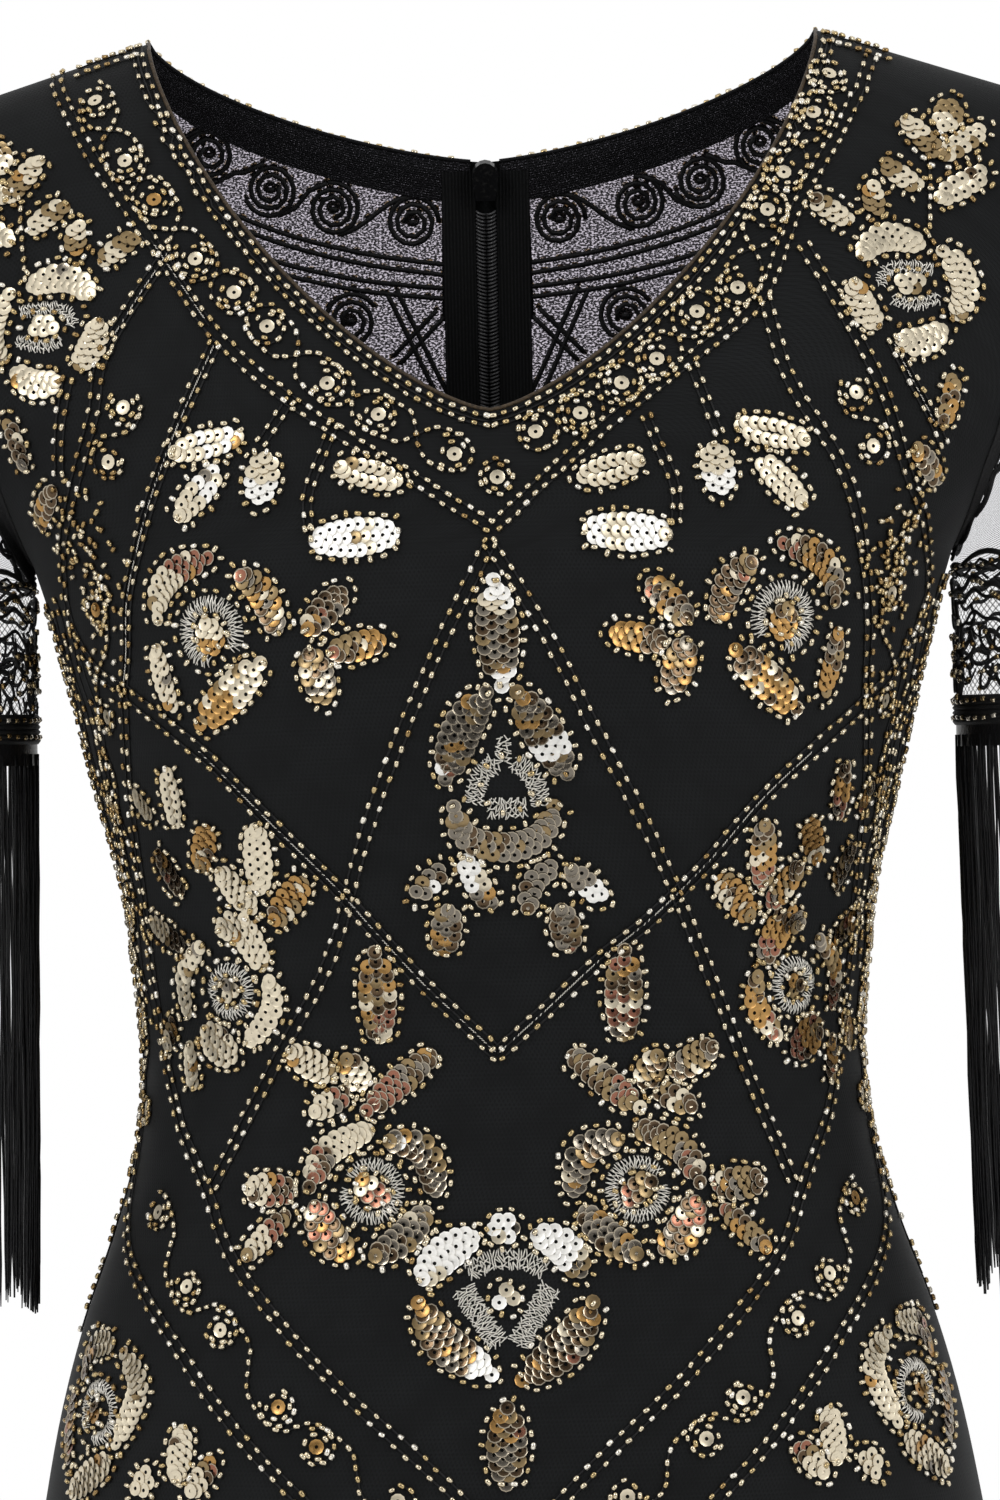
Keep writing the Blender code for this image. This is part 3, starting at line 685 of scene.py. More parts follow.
def threads(made, vector, scale, turn=0.0, distortion=0.0):
    """Fine parallel lines, with this many waves in 0.314 of a unit."""
    turned = node(made, "ShaderNodeMapping", Rotation=(0.0, 0.0, turn))
    wire(made, vector, turned.inputs["Vector"])
    wave = node(made, "ShaderNodeTexWave", Scale=scale, Distortion=distortion)
    wire(made, turned.outputs["Vector"], wave.inputs["Vector"])
    return wave.outputs["Fac"]


def product(made, first, second, operation="MULTIPLY"):
    new = node(made, "ShaderNodeMath", operation=operation)
    wire(made, first, new.inputs[0])
    if isinstance(second, (int, float)):
        new.inputs[1].default_value = second
    else:
        wire(made, second, new.inputs[1])
    return new.outputs["Value"]


def net_look():
    """Black tulle laid over black jersey, with fine level ribs."""
    made, main = shader(
        "tulle_over_jersey", (0.006, 0.006, 0.007), 0.78, Specular_IOR_Level=0.16
    )
    uv = coordinates(made, "UV")
    one = threads(made, uv, 250.0, math.radians(30))
    two = threads(made, uv, 250.0, math.radians(-30))
    ribs = product(made, threads(made, uv, 190.0, math.radians(90), 0.4), 0.3)
    mesh = product(made, product(made, one, two, "MAXIMUM"), ribs, "ADD")
    mesh = product(made, mesh, noise(made, uv, 60.0, 4.0))
    stops = ((0.2, (0.0030, 0.0033, 0.0036)), (0.7, (0.0070, 0.0078, 0.0084)))
    colour_by(made, main, mesh, stops)
    bump(made, main, mesh, 0.0003, 0.35)
    main.inputs["Sheen Weight"].default_value = 0.05
    main.inputs["Sheen Roughness"].default_value = 0.4
    return made


def sheer_look(name, see_through, tint, grain, low, high, line=None):
    """A see-through knit: dark yarn with small holes, which let the light behind it in."""
    made, main = shader(name, (0.008, 0.008, 0.009), 0.7, Specular_IOR_Level=0.2)
    uv = coordinates(made, "UV", (1.0, 1.5, 1.0))
    speck = noise(made, uv, grain, 2.0, Roughness=0.6)
    holes = ramp(made, speck, ((low, grey(0.03)), (high, grey(1.0))))
    if line:
        lines = threads(made, uv, line, math.radians(38))
        holes = product(made, holes, ramp(made, lines, ((0.70, grey(1.0)), (0.96, grey(0.30)))))
    clear = node(made, "ShaderNodeBsdfTransparent", Color=(*tint, 1.0))
    blend = node(made, "ShaderNodeMixShader")
    wire(made, product(made, holes, see_through), blend.inputs[0])
    wire(made, main.outputs["BSDF"], blend.inputs[1])
    wire(made, clear.outputs["BSDF"], blend.inputs[2])
    wire(made, blend.outputs["Shader"], made.node_tree.nodes["Material Output"].inputs["Surface"])
    bump(made, main, speck, 0.0003, 0.5)
    return made


def yarn_look(name, colour, scale, roughness=0.65):
    """Twisted thread, darker and lighter by turns."""
    made, main = shader(name, colour, roughness, Specular_IOR_Level=0.3)
    plies = noise(made, coordinates(made, "Object"), scale, 3.0)
    colour_by(made, main, plies, ((0.3, scaled(colour, 0.45)), (0.7, scaled(colour, 1.7))))
    bump(made, main, plies, 0.0004, 0.7)
    return made


def foil_look(name, colour, roughness, metallic):
    """Metallised plastic with faint scuffs."""
    made, main = shader(name, colour, roughness, metallic)
    scuffs = noise(made, coordinates(made, "Object"), 420.0, 3.0)
    rough = node(made, "ShaderNodeMapRange")
    rough.inputs["To Min"].default_value = roughness * 0.7
    rough.inputs["To Max"].default_value = min(roughness * 1.5, 1.0)
    wire(made, scuffs, rough.inputs["Value"])
    wire(made, rough.outputs["Result"], main.inputs["Roughness"])
    colour_by(made, main, scuffs, ((0.35, scaled(colour, 0.86)), (0.65, colour)))
    bump(made, main, scuffs, 0.00012, 0.5)
    return made


def rib_look(name, colour, waves, turn):
    """Opaque ribbed tape."""
    made, main = shader(name, colour, 0.8, Specular_IOR_Level=0.15)
    uv = coordinates(made, "UV")
    ribs = product(made, threads(made, uv, waves, turn, 0.3), noise(made, uv, 900.0, 2.0))
    colour_by(made, main, ribs, ((0.1, scaled(colour, 0.5)), (0.7, scaled(colour, 1.5))))
    bump(made, main, ribs, 0.0004, 0.7)
    return made


def facing_look(name, colour, fibre):
    """Black knit with a scatter of fine bright fibres."""
    made, main = shader(name, colour, 0.8, Specular_IOR_Level=0.15)
    uv = coordinates(made, "UV")
    colour_by(made, main, noise(made, uv, 2100.0, 1.0), ((0.60, colour), (0.72, fibre)))
    bump(made, main, threads(made, uv, 330.0, math.radians(90)), 0.0003, 0.6)
    return made


def metal_look(name):
    """Black lacquer over metal, worn a little in spots."""
    made, main = shader(name, (0.012, 0.012, 0.013), 0.32, 0.2, Coat_Weight=0.4)
    wear = noise(made, coordinates(made, "Object"), 700.0, 4.0)
    stops = ((0.55, (0.010, 0.010, 0.011)), (0.78, (0.05, 0.048, 0.045)))
    colour_by(made, main, wear, stops)
    bump(made, main, wear, 0.0001, 0.5)
    return made


NET = net_look()
YOKE = sheer_look("sheer_yoke_knit", 0.74, (0.80, 0.74, 0.84), 1050.0, 0.50, 0.58)
TULLE = sheer_look("sheer_sleeve_net", 0.98, (0.98, 0.98, 0.99), 1100.0, 0.10, 0.32, 270.0)
LACE_NET = sheer_look("cuff_net", 0.98, (0.97, 0.97, 0.97), 800.0, 0.22, 0.42, 130.0)
CORD = yarn_look("black_cord", (0.007, 0.007, 0.0075), 1400.0)
FRINGE = yarn_look("rayon_fringe", (0.0060, 0.0060, 0.0068), 900.0, 0.32)
SILVER = foil_look("silver_thread", (0.84, 0.81, 0.74), 0.30, 0.70)
FACING = facing_look("facing_knit", (0.006, 0.006, 0.007), (0.20, 0.19, 0.22))
TAPE = rib_look("zip_tape_rib", (0.0135, 0.0140, 0.0145), 260.0, 0.0)
# The coil is black nylon: its grey colour is painted light in place of glints, since little lamp light reaches it
# inside the back
COIL_PAINTED_LIGHT = foil_look("zip_nylon_painted_light", (0.080, 0.080, 0.083), 0.24, 0.0)
PIPING = yarn_look("turned_edge", (0.045, 0.030, 0.016), 900.0, 0.6)
LACQUER = metal_look("zip_lacquer")

# Sequin foils. The letter is the tone's name in the tables below. w is a near-white foil that is a painted highlight.
FOILS = {
    "c": foil_look("sequin_cream", (0.78, 0.69, 0.52), 0.30, 0.72),
    "g": foil_look("sequin_gold", (0.31, 0.220, 0.108), 0.28, 0.78),
    "a": foil_look("sequin_amber", (0.46, 0.26, 0.085), 0.26, 0.80),
    "b": foil_look("sequin_umber", (0.108, 0.070, 0.039), 0.20, 0.88),
    # s is a smoke foil, made darker than its own tone as a painted dark reflection
    "s": foil_look("sequin_smoke_painted_dark_reflection", (0.21, 0.185, 0.150), 0.18, 0.90),
    "r": foil_look("sequin_rose", (0.32, 0.135, 0.085), 0.24, 0.85),
    "w": foil_look("sequin_painted_highlight", (1.00, 0.98, 0.93), 0.30, 0.30),
}
FOIL_ORDER, DARK_FOILS = "cgabsrw", "sbr"
# How each tone letter of a petal is mixed: shares of the foils, in FOIL_ORDER. The tones w and W are mostly the
# painted highlight foil.
MIXES = {
    "c": (0.93, 0.03, 0.02, 0.01, 0.01, 0.00, 0.00),
    "g": (0.10, 0.82, 0.02, 0.04, 0.01, 0.00, 0.01),
    "a": (0.10, 0.10, 0.72, 0.08, 0.00, 0.00, 0.00),
    "b": (0.02, 0.14, 0.12, 0.54, 0.14, 0.04, 0.00),
    "s": (0.02, 0.14, 0.03, 0.16, 0.63, 0.01, 0.01),
    "r": (0.12, 0.10, 0.02, 0.16, 0.04, 0.56, 0.00),
    "w": (0.42, 0.02, 0.01, 0.00, 0.03, 0.00, 0.52),
    "W": (0.03, 0.00, 0.02, 0.00, 0.00, 0.00, 0.95),
}
# A lighter foil for the rims of dark sequins: a painted highlight
RIM_PAINTED_HIGHLIGHT = foil_look("sequin_rim_painted_highlight", (0.43, 0.37, 0.28), 0.20, 0.75)
GLASS = (
    foil_look("bead_pale_gold", (0.74, 0.64, 0.46), 0.13, 0.90),
    foil_look("bead_gold", (0.54, 0.41, 0.21), 0.15, 0.90),
    foil_look("bead_bright", (0.95, 0.89, 0.77), 0.15, 0.70),
    foil_look("bead_amber", (0.34, 0.225, 0.095), 0.15, 0.90),
)
# Shares of the four glasses: in the middle, and at the sides beyond SIDE_U
GLASS_SHARES = ((0.62, 0.26, 0.09, 0.03), (0.32, 0.38, 0.08, 0.22))
SIDE_U = 0.128

# ---------------------------------------------------------------- embroidery, gathered

SEQUIN_RADIUS, SEQUIN_LIFT = 0.0026, 0.00075
BEAD_RADIUS, BEAD_HALF_LENGTH = 0.00090, 0.00106
BEAD_SIZE = np.array((BEAD_HALF_LENGTH, BEAD_RADIUS, BEAD_RADIUS))
ROW_PITCH, COLUMN_PITCH, SPINE_STEP = 0.0032, 0.0034, 0.0004
BORDER_PITCH, LINE_PITCH, CURL_PITCH = 0.0042, 0.0053, 0.0039
# Between a petal's sequins and its border, at the sides and at the tips
SIDE_GAP, TIP_GAP = 0.0012, 0.0010
STITCH_SPACING = 0.00062
CHIP_SPACING, CHIP_LENGTH = 0.00078, 0.0026
rng = np.random.default_rng(1925)
sequins, beads, cords, pads, chips = ({FRONT: [], BACK: []} for _ in range(5))


def put_sequin(side, u, z, lean, look, tilt=3.0, roll=0.0):
    sequins[side].append((u, z, lean, tilt, roll, FOIL_ORDER.index(look)))


def put_bead(side, u, z, along):
    look = rng.choice(4, p=GLASS_SHARES[int(abs(u) > SIDE_U)])
    beads[side].append((u, z, along + rng.normal(0.0, 0.14), look))


def put_cord(side, line, radius=0.0004, look=0, lift=0.0002):
    line = np.asarray(line)
    cords[side].append((line, radius, look, lift))
    if side == BACK and look == 0 and line[:, 1].max() > -0.2:
        # Its stitches also show on the inside, which the neck opening lets one see
        cords[side].append((line, 0.0009, 0, -0.0016))


def petal(side, origin, flip, points, width, tones):
    """Columns of sequins along a spine, overlapping like scales, inside a border of beads."""
    spine = smooth_line(np.array(points) / 1e3 * (flip, 1.0) + origin, SPINE_STEP)
    along = directions(spine)
    across = leftward(along)
    length = (len(spine) - 1) * SPINE_STEP
    share = np.linspace(0.0, 1.0, len(spine))
    # How wide each place is against the middle: a leaf, pointed at both ends
    fullness = np.sin(np.pi * (0.07 + 0.86 * share)) ** 0.92
    room = max((0.5 * width + 1.05) / 1e3 - SEQUIN_RADIUS, 0.0)
    columns = int(round(2.0 * room / COLUMN_PITCH)) + 1
    gap = 2.0 * room / (columns - 1) if columns > 1 else 0.0
    pitch = length / max(round(length / ROW_PITCH), 1)
    tilt, roll = 7.5 + rng.normal(0.0, 1.6), rng.uniform(-1.2, 1.2)
    for column in range(columns):
        rank = column - (columns - 1) / 2.0
        for place in np.arange(pitch / 2.0 * (column % 2), length + 1e-6, pitch):
            k = min(int(place / SPINE_STEP), len(spine) - 1)
            off = rank * gap * fullness[k]
            if abs(rank) >= 1.0 and fullness[k] < 0.50:
                continue
            if columns % 2 == 0 and fullness[k] < 0.46:
                if rank != 0.5:
                    continue
                off = 0.0
            tone = tones[min(int(place / length * len(tones)), len(tones) - 1)]
            spot = spine[k] + across[k] * (off + rng.normal(0, 0.00008))
            look = FOIL_ORDER[rng.choice(7, p=np.array(MIXES[tone]) / sum(MIXES[tone]))]
            lean = math.atan2(along[k, 1], along[k, 0])
            loose = 2.2 if tone in DARK_FOILS else 1.1
            put_sequin(side, *spot, lean, look, tilt + rng.normal(0, loose), roll)
    edge = (room * fullness + SEQUIN_RADIUS + SIDE_GAP)[:, None]
    left, right = spine + across * edge, spine - across * edge
    cap = SEQUIN_RADIUS + TIP_GAP
    ring = np.vstack([left, spine[-1:] + along[-1] * cap, right[::-1], spine[:1] - along[0] * cap])
    ring = smooth_line(np.vstack([ring[:: max(len(ring) // 40, 1)], ring[:1]]), BORDER_PITCH)[:-1]
    heading = directions(np.vstack([ring[-1:], ring, ring[:1]]))[1:-1]
    for spot, way in zip(ring, heading):
        turn = math.atan2(way[1], way[0]) + (math.pi / 2 if rng.random() < 0.35 else 0.0)
        put_bead(side, *(spot + rng.normal(0, 0.00025, 2)), turn)


def pad(side, origin, flip, points, width):
    """A band of short curled silver stitches along a spine, which the points give in mm."""
    spine = smooth_line(np.array(points) / 1e3 * (flip, 1.0) + origin, CHIP_SPACING)
    chips[side].append((spine, width / 1e3))


def satin_ring(side, origin, inner, outer, gap_centre, gap_width):
    """An open ring of satin stitch with single beads round it. Angles in degrees."""
    start = math.radians(gap_centre + gap_width / 2)
    end = math.radians(gap_centre + 360 - gap_width / 2)
    middle = (inner + outer) / 2e3
    spine = circle(np.linspace(start, end, 40)) * middle + origin
    pads[side].append((smooth_line(spine, STITCH_SPACING), (outer - inner) / 1e3))
    for radius, pitch in ((outer + 1.5, 4.4), (inner - 0.9, 4.6)):
        count = int(2 * math.pi * radius / pitch)
        for k in range(count):
            angle = 2 * math.pi * (k + rng.uniform(-0.12, 0.12)) / count
            spot = circle(angle) * radius / 1e3 + origin
            put_bead(side, *spot, angle + (math.pi / 2 if k % 3 else 0.0))


def beside(line, offset):
    return line + leftward(directions(line)) * offset


def row_of_beads(side, line, pitch, offset=0.0):
    """Beads on a cord, offset to the left of a line."""
    line = smooth_line(line, pitch)
    spots = beside(line, offset) + rng.normal(0, 0.00018, line.shape)
    for spot, way in zip(spots, directions(line)):
        put_bead(side, *spot, math.atan2(way[1], way[0]))
    put_cord(side, beside(smooth_line(line, 0.0036), offset))


def double_line(side, points, gap=0.0018, pitch=LINE_PITCH):
    """Two rows of beads, each on its cord. Points in mm."""
    line = np.array(points, float) / 1e3
    for offset in (-gap, gap):
        row_of_beads(side, line, pitch, offset)


def silver_line(side, points):
    """A black cord with silver thread wound round it, which shows as short slanting dashes."""
    line = smooth_line(np.array(points, float) / 1e3, 0.0010)
    put_cord(side, line[::3])
    for k in range(len(line) - 2):
        if rng.random() >= 0.32:
            dash = beside(line[k : k + 2], np.array([[-0.0002], [0.0002]]))
            put_cord(side, dash, 0.00018, 1, 0.0006)


def flower(side, centre, radius=7.6, start=0.0, sweep=280.0):
    """One sequin in a ring of small beads, with a curl of beads round it."""
    centre = np.array(centre, float) / 1e3
    put_sequin(side, *centre, rng.uniform(0, 6.28), "c" if rng.random() < 0.85 else "a")
    for k in range(6):
        angle = 2 * math.pi * (k + rng.uniform(-0.1, 0.1)) / 6 + start
        if rng.random() < 0.85:
            put_bead(side, *(centre + circle(angle) * 0.0041), angle + math.pi / 2)
    turn = np.radians(start + np.linspace(0.0, sweep, 24))
    shrink = mix(1.0, 0.82, np.linspace(0, 1, 24))[:, None]
    row_of_beads(side, centre + circle(turn) * radius / 1e3 * shrink, CURL_PITCH)


def spiral(side, centre, radius, start, way):
    """A sequin in a curl of beads that goes round it two and a half times."""
    centre = np.array(centre, float) / 1e3
    put_sequin(side, *centre, rng.uniform(0, 6.28), "c")
    share = np.linspace(0.0, 1.0, 60)
    turn = np.radians(start + way * 900.0 * share)
    reach = mix(radius, 3.2, share)[:, None] / 1e3
    row_of_beads(side, centre + circle(turn) * reach, CURL_PITCH)
    put_cord(side, centre + np.array(((-0.0012, 0.0), (0.0012, 0.0))))


def scroll(side, flowers, radius=7.6, first=1, braid=False):
    """Flowers joined by beaded S-curves, which pass them on alternate sides. In a braid, a
    second set of curves crosses the first."""
    flowers = np.array(flowers, float)
    for k, centre in enumerate(flowers):
        ahead = flowers[min(k + 1, len(flowers) - 1)] - flowers[max(k - 1, 0)]
        heading = math.degrees(math.atan2(ahead[1], ahead[0]))
        way = first if k % 2 == 0 else -first
        flower(side, centre, radius, heading + 180 - way * 40, -way * 250.0)
        if k + 1 < len(flowers):
            step = flowers[k + 1] - centre
            normal = np.array([-step[1], step[0]]) / np.linalg.norm(step)
            for turned in (way, -way) if braid else (way,):
                reach = normal * radius * turned
                path = [
                    centre + reach + step * 0.05,
                    centre + step * 0.35 + reach * 0.75,
                    centre + step * 0.65 - reach * 0.75,
                    centre + step * 0.95 - reach,
                ]
                row_of_beads(side, np.array(path) / 1e3, 0.0037)


# Motifs: each petal is its spine in mm from the motif's centre, its width in mm and its tones. The tones w and W are
# painted highlights.
ROSE_ONE = (
    (((-21, 4), (-19, 14), (-11, 21), (2, 25)), 9.0, "cr"),
    (((11, 19), (19, 13), (25, -1)), 8.8, "b"),
    (((-23, -4), (-21, -15), (-17, -26)), 6.8, "c"),
    (((19, -10), (6, -21), (-7, -31)), 11.3, "ca"),
    (((34, -1), (48, 13)), 9.0, "b"),
    (((42, -8), (61, -4)), 8.3, "ba"),
    (((35, -7), (41, -24)), 9.9, "b"),
    (((-2, 4), (2, -7)), 9.0, "ca"),
)
ROSE_TWO = (
    (((-4, 20), (5, 22), (15, 8)), 9.9, "c"),
    (((-11, 16), (-21, 5), (-19, -9)), 6.4, "c"),
    (((16, 5), (17, -6), (8, -18)), 6.8, "c"),
    (((-12, -13), (3, -23)), 11.3, "c"),
    (((13, 56), (14, 33)), 9.3, "c"),
    (((-11, 41), (-6, 56)), 8.6, "a"),
    (((-3, 41), (12, 27)), 8.3, "c"),
    (((18, 23), (31, 38)), 9.0, "a"),
    (((-33, 47), (-20, 33)), 6.6, "b"),
    (((-41, 24), (-20, 15)), 6.0, "cb"),
    (((-34, -20), (-27, -10)), 6.0, "cb"),
    (((-19, -18), (-17, -33)), 5.5, "c"),
    (((-23, 75), (-21, 56)), 7.3, "c"),
    (((-43, 67), (-34, 59)), 5.0, "c"),
    (((-3, 2), (3, -2)), 6.6, "c"),
)
ROSE_THREE = (
    (((-22, 0), (-15, 13), (1, 21)), 8.3, "rc"),
    (((5, 17), (18, 13), (22, -2)), 9.0, "s"),
    (((-20, -4), (-15, -15), (-7, -21)), 10.9, "rb"),
    (((0, -22), (10, -16), (19, -6)), 9.3, "s"),
    (((-45, 1), (-26, 0)), 9.9, "cr"),
    (((-45, -22), (-29, -7)), 6.4, "cr"),
    (((-28, 47), (-12, 38)), 8.8, "c"),
    (((3, 81), (4, 50)), 11.3, "br"),
    (((-8, 45), (-2, 34)), 8.6, "ac"),
    (((-20, 26), (-7, 33)), 7.3, "cr"),
    (((-2, 26), (22, 46)), 8.3, "rb"),
    (((-5, 4), (5, -4)), 7.3, "cr"),
)
PENDANT = (
    (((-3, 66), (-1, 31)), 12.8, "WwsbsbW"),
    (((-6, 29), (-14, 18), (-20, 1)), 11.9, "s"),
    (((4, 29), (12, 16), (20, 2)), 11.9, "sssWs"),
    (((-18, -7), (-14, -18), (-1, -22), (11, -18), (16, -7)), 8.5, "s"),
    (((-31, -38), (-21, -28)), 6.8, "s"),
    (((-15, -25), (-6, -42)), 7.0, "Wws"),
    (((-20, -41), (-22, -57)), 8.8, "sb"),
    (((6, -44), (8, -34), (16, -28)), 6.6, "s"),
    (((20, -29), (31, -40)), 6.8, "sW"),
    (((17, -42), (20, -57)), 8.8, "sb"),
)
PENDANT_PADS = (
    (((-1, 14), (-1, 6)), 5.0),
    (((-4, 6), (-9, 1), (-11, -7)), 6.4),
    (((3, 6), (9, 0), (11, -8)), 6.4),
    (((-6, -9), (6, -9)), 6.6),
)
CREST = (
    (((-5, 23), (5, 23)), 9.0, "w"),
    (((-28, 6), (-20, 15), (-9, 21)), 11.0, "wWWW"),
    (((10, 21), (19, 17), (26, 7)), 10.6, "WWws"),
    (((-29, -1), (-21, -14), (-5, -25)), 11.9, "bbbW"),
    (((29, -2), (21, -15), (5, -27)), 11.9, "b"),
    (((0, -36), (-1, -61)), 12.0, "bs"),
    (((-2, 3), (2, -3)), 8.0, "cw"),
)
CREST_PADS = (
    (((-12, 9), (-6, 12), (1, 13), (8, 12), (13, 9)), 6.6),
    (((-14, 3), (-3, -15)), 7.2),
    (((15, 3), (4, -15)), 7.2),
)
HIP_ROSE = (
    (((-14, 11), (-9, 21), (7, 23)), 7.8, "bc"),
    (((12, 21), (21, 9), (11, -11)), 8.3, "c"),
    (((-15, -28), (9, -15)), 9.3, "c"),
    (((-20, 6), (-21, -6), (-17, -18)), 6.6, "b"),
    (((38, -21), (41, -3)), 8.3, "c"),
    (((43, -25), (53, -14)), 6.8, "cr"),
    (((21, -26), (28, -18)), 7.3, "c"),
    (((-4, 3), (-2, -4)), 6.8, "ba"),
)
SHOULDER_ROSE = (
    (((-18, 9), (-12, 15), (-5, 16), (5, 13)), 8.6, "c"),
    (((11, 12), (17, 6), (20, -3), (16, -12)), 8.8, "c"),
    (((-20, 1), (-18, -7), (-12, -15)), 8.8, "c"),
    (((-5, -19), (4, -20), (13, -15)), 8.6, "c"),
    (((13, 54), (18, 64)), 9.0, "cg"),
    (((0, 58), (12, 44)), 7.0, "cg"),
    (((12, 44), (28, 54)), 6.6, "c"),
    (((-9, 42), (4, 33)), 6.4, "gc"),
    (((10, 29), (28, 39)), 7.6, "c"),
    (((-13, 35), (-12, 24)), 6.2, "cg"),
    (((-34, 30), (-21, 21)), 6.2, "gc"),
    (((15, -48), (17, -31)), 6.2, "b"),
    (((4, -55), (18, -67)), 6.6, "b"),
    (((-5, 0), (5, 0)), 6.2, "c"),
)
SHOULDER_PADS = (
    (((-11, 0), (-8, 5), (-1, 6), (8, 5)), 4.3),
    (((-6, -5), (0, -7), (10, -5)), 4.3),
)
CHEST_LEAVES = (
    (((-30, 8), (-5, 13)), 8.2, "cww"),
    (((-29, -14), (-13, 2)), 8.2, "cw"),
    (((3, 7), (0, -10)), 10.2, "cW"),
    (((27, 2), (48, -4)), 8.2, "c"),
    (((18, -23), (47, -21)), 11.6, "WWwW"),
)
# The right half of the front is browner than the left and has fewer painted highlights: how each tone letter changes
# there
BROWNER = str.maketrans({"c": "bgb", "w": "c"})
AMBER = str.maketrans({"c": "ba"})
COPPER = str.maketrans({"c": "bar"})
PAINTED_HIGHLIGHTS_TO_CREAM = str.maketrans("w", "c")
# Roses with a satin ring: name, petals, the ring's two radii in mm, the middle and width of its
# gap in degrees on the left, and how the tones change on the front's right half
ROSES = (
    ("one", ROSE_ONE, 6.6, 12.4, -65, 60, AMBER),
    ("two", ROSE_TWO, 5.2, 9.8, -160, 10, COPPER),
    ("three", ROSE_THREE, 6.6, 11.2, 160, 30, BROWNER),
    ("hip", HIP_ROSE, 6.4, 11.0, -120, 40, None),
)


def motif(side, centre, petals, flip=1.0, satin=(), swap=None):
    origin = np.array(centre, float) / 1e3
    for points, width, tones in petals:
        petal(side, origin, flip, points, width, tones.translate(swap) if swap else tones)
    for points, width in satin:
        pad(side, origin, flip, points, width)


def shared_design(side, left, right):
    """What front and back have alike. left and right hold the motifs' centres in mm."""
    for flip, spots in ((1.0, left), (-1.0, right)):
        darker = side == FRONT and flip < 0
        for name, petals, inner, outer, gap, width, swap in ROSES:
            motif(side, spots[name], petals, flip, swap=swap if darker else None)
            turned = gap if flip > 0 else math.copysign(180, gap) - gap
            satin_ring(side, np.array(spots[name]) / 1e3, inner, outer, turned, width)
        motif(side, spots["shoulder"], SHOULDER_ROSE, -flip, SHOULDER_PADS)
        motif(side, spots["chest"], CHEST_LEAVES, flip, swap=PAINTED_HIGHLIGHTS_TO_CREAM if darker else None)
    motif(side, (-1, -428), CREST, 1.0, CREST_PADS)


FRONT_LEFT = {
    "one": (-97, -205),
    "two": (-96, -325),
    "three": (-45, -392),
    "hip": (-154, -467),
    "shoulder": (-152, -100),
    "chest": (-78, -153),
}
FRONT_RIGHT = {
    "one": (99, -204),
    "two": (105, -327),
    "three": (44, -393),
    "hip": (150, -465),
    "shoulder": (144, -92),
    "chest": (77, -153),
}
shared_design(FRONT, FRONT_LEFT, FRONT_RIGHT)
motif(FRONT, (3, -256), PENDANT, 1.0, PENDANT_PADS)
for k in range(9):
    angle = math.radians(20 + 40 * k)
    put_bead(FRONT, 0.003 + 0.0085 * math.cos(angle), -0.257 + 0.0095 * math.sin(angle), angle)

# Lattice and borders of the front, (u, z) in mm
LATTICE = (
    (
        *((-1, -178), (-18, -211), (-35, -249), (-46, -278), (-54, -305)),
        *((-62, -323), (-73, -341), (-89, -367), (-103, -390)),
    ),
    (
        *((-1, -178), (17, -208), (34, -243), (47, -268), (57, -290)),
        *((66, -311), (74, -331), (86, -360), (100, -392)),
    ),
    ((-92, -109), (-107, -140), (-121, -170), (-131, -193), (-135, -212), (-139, -223)),
    ((93, -97), (101, -125), (119, -153), (130, -178), (137, -205), (139, -232)),
    (
        *((-106, -74), (-130, -110), (-136, -133), (-149, -159)),
        *((-163, -179), (-169, -199), (-157, -215), (-139, -223)),
    ),
    ((107, -79), (131, -122), (146, -155), (165, -178), (177, -198), (162, -218), (139, -232)),
)
GREAT_V = (
    (
        *((-139, -223), (-104, -244), (-81, -265), (-57, -288)),
        *((-42, -305), (-27, -322), (-14, -335), (-2, -347)),
    ),
    (
        *((-2, -347), (14, -333), (33, -316), (50, -303)),
        *((70, -285), (91, -264), (112, -248), (139, -232)),
    ),
)
NECK_BAND = (
    ((-150, -11), (-133, -43), (-113, -72), (-93, -103), (-67, -128), (-30, -153), (-1, -172)),
    ((134, -12), (123, -34), (106, -63), (91, -97), (67, -117), (36, -141), (1, -172)),
)
NECK_FLOWERS = (
    (
        *((-133, -22), (-122, -44), (-112, -58), (-98, -79), (-85, -91)),
        *((-74, -103), (-54, -123), (-37, -134), (-12, -148)),
    ),
    (
        *((118, -18), (112, -32), (101, -53), (95, -66), (84, -93)),
        *((70, -101), (56, -117), (44, -125), (30, -135), (15, -141)),
    ),
)
for points in LATTICE:
    double_line(FRONT, points)
for points in GREAT_V:
    double_line(FRONT, points, 0.0022)
silver_line(FRONT, GREAT_V[0][1:])
silver_line(FRONT, GREAT_V[1][:-1])
silver_line(FRONT, ((-113, -72), (-93, -103)))
silver_line(FRONT, ((-107, -76), (-129, -108)))
silver_line(FRONT, LATTICE[2])


def neck_edge(side, inset, low, high):
    """A line of the chart inset from the neckline, from share low to high of one half."""
    turn = np.linspace(low, high, 26) * math.pi / 2.0
    reach, drop = circle(turn).T[::-1] ** (2.0 / NECKLINE_EXPONENT)
    edge = np.stack([NECK_HALF_WIDTH * reach, -NECK_DROP[side] * drop], 1)
    x, z = beside(smooth_line(edge, 0.002), -inset).T
    return np.stack([u_at(side, form_angle(side, x, z), z), z], 1)


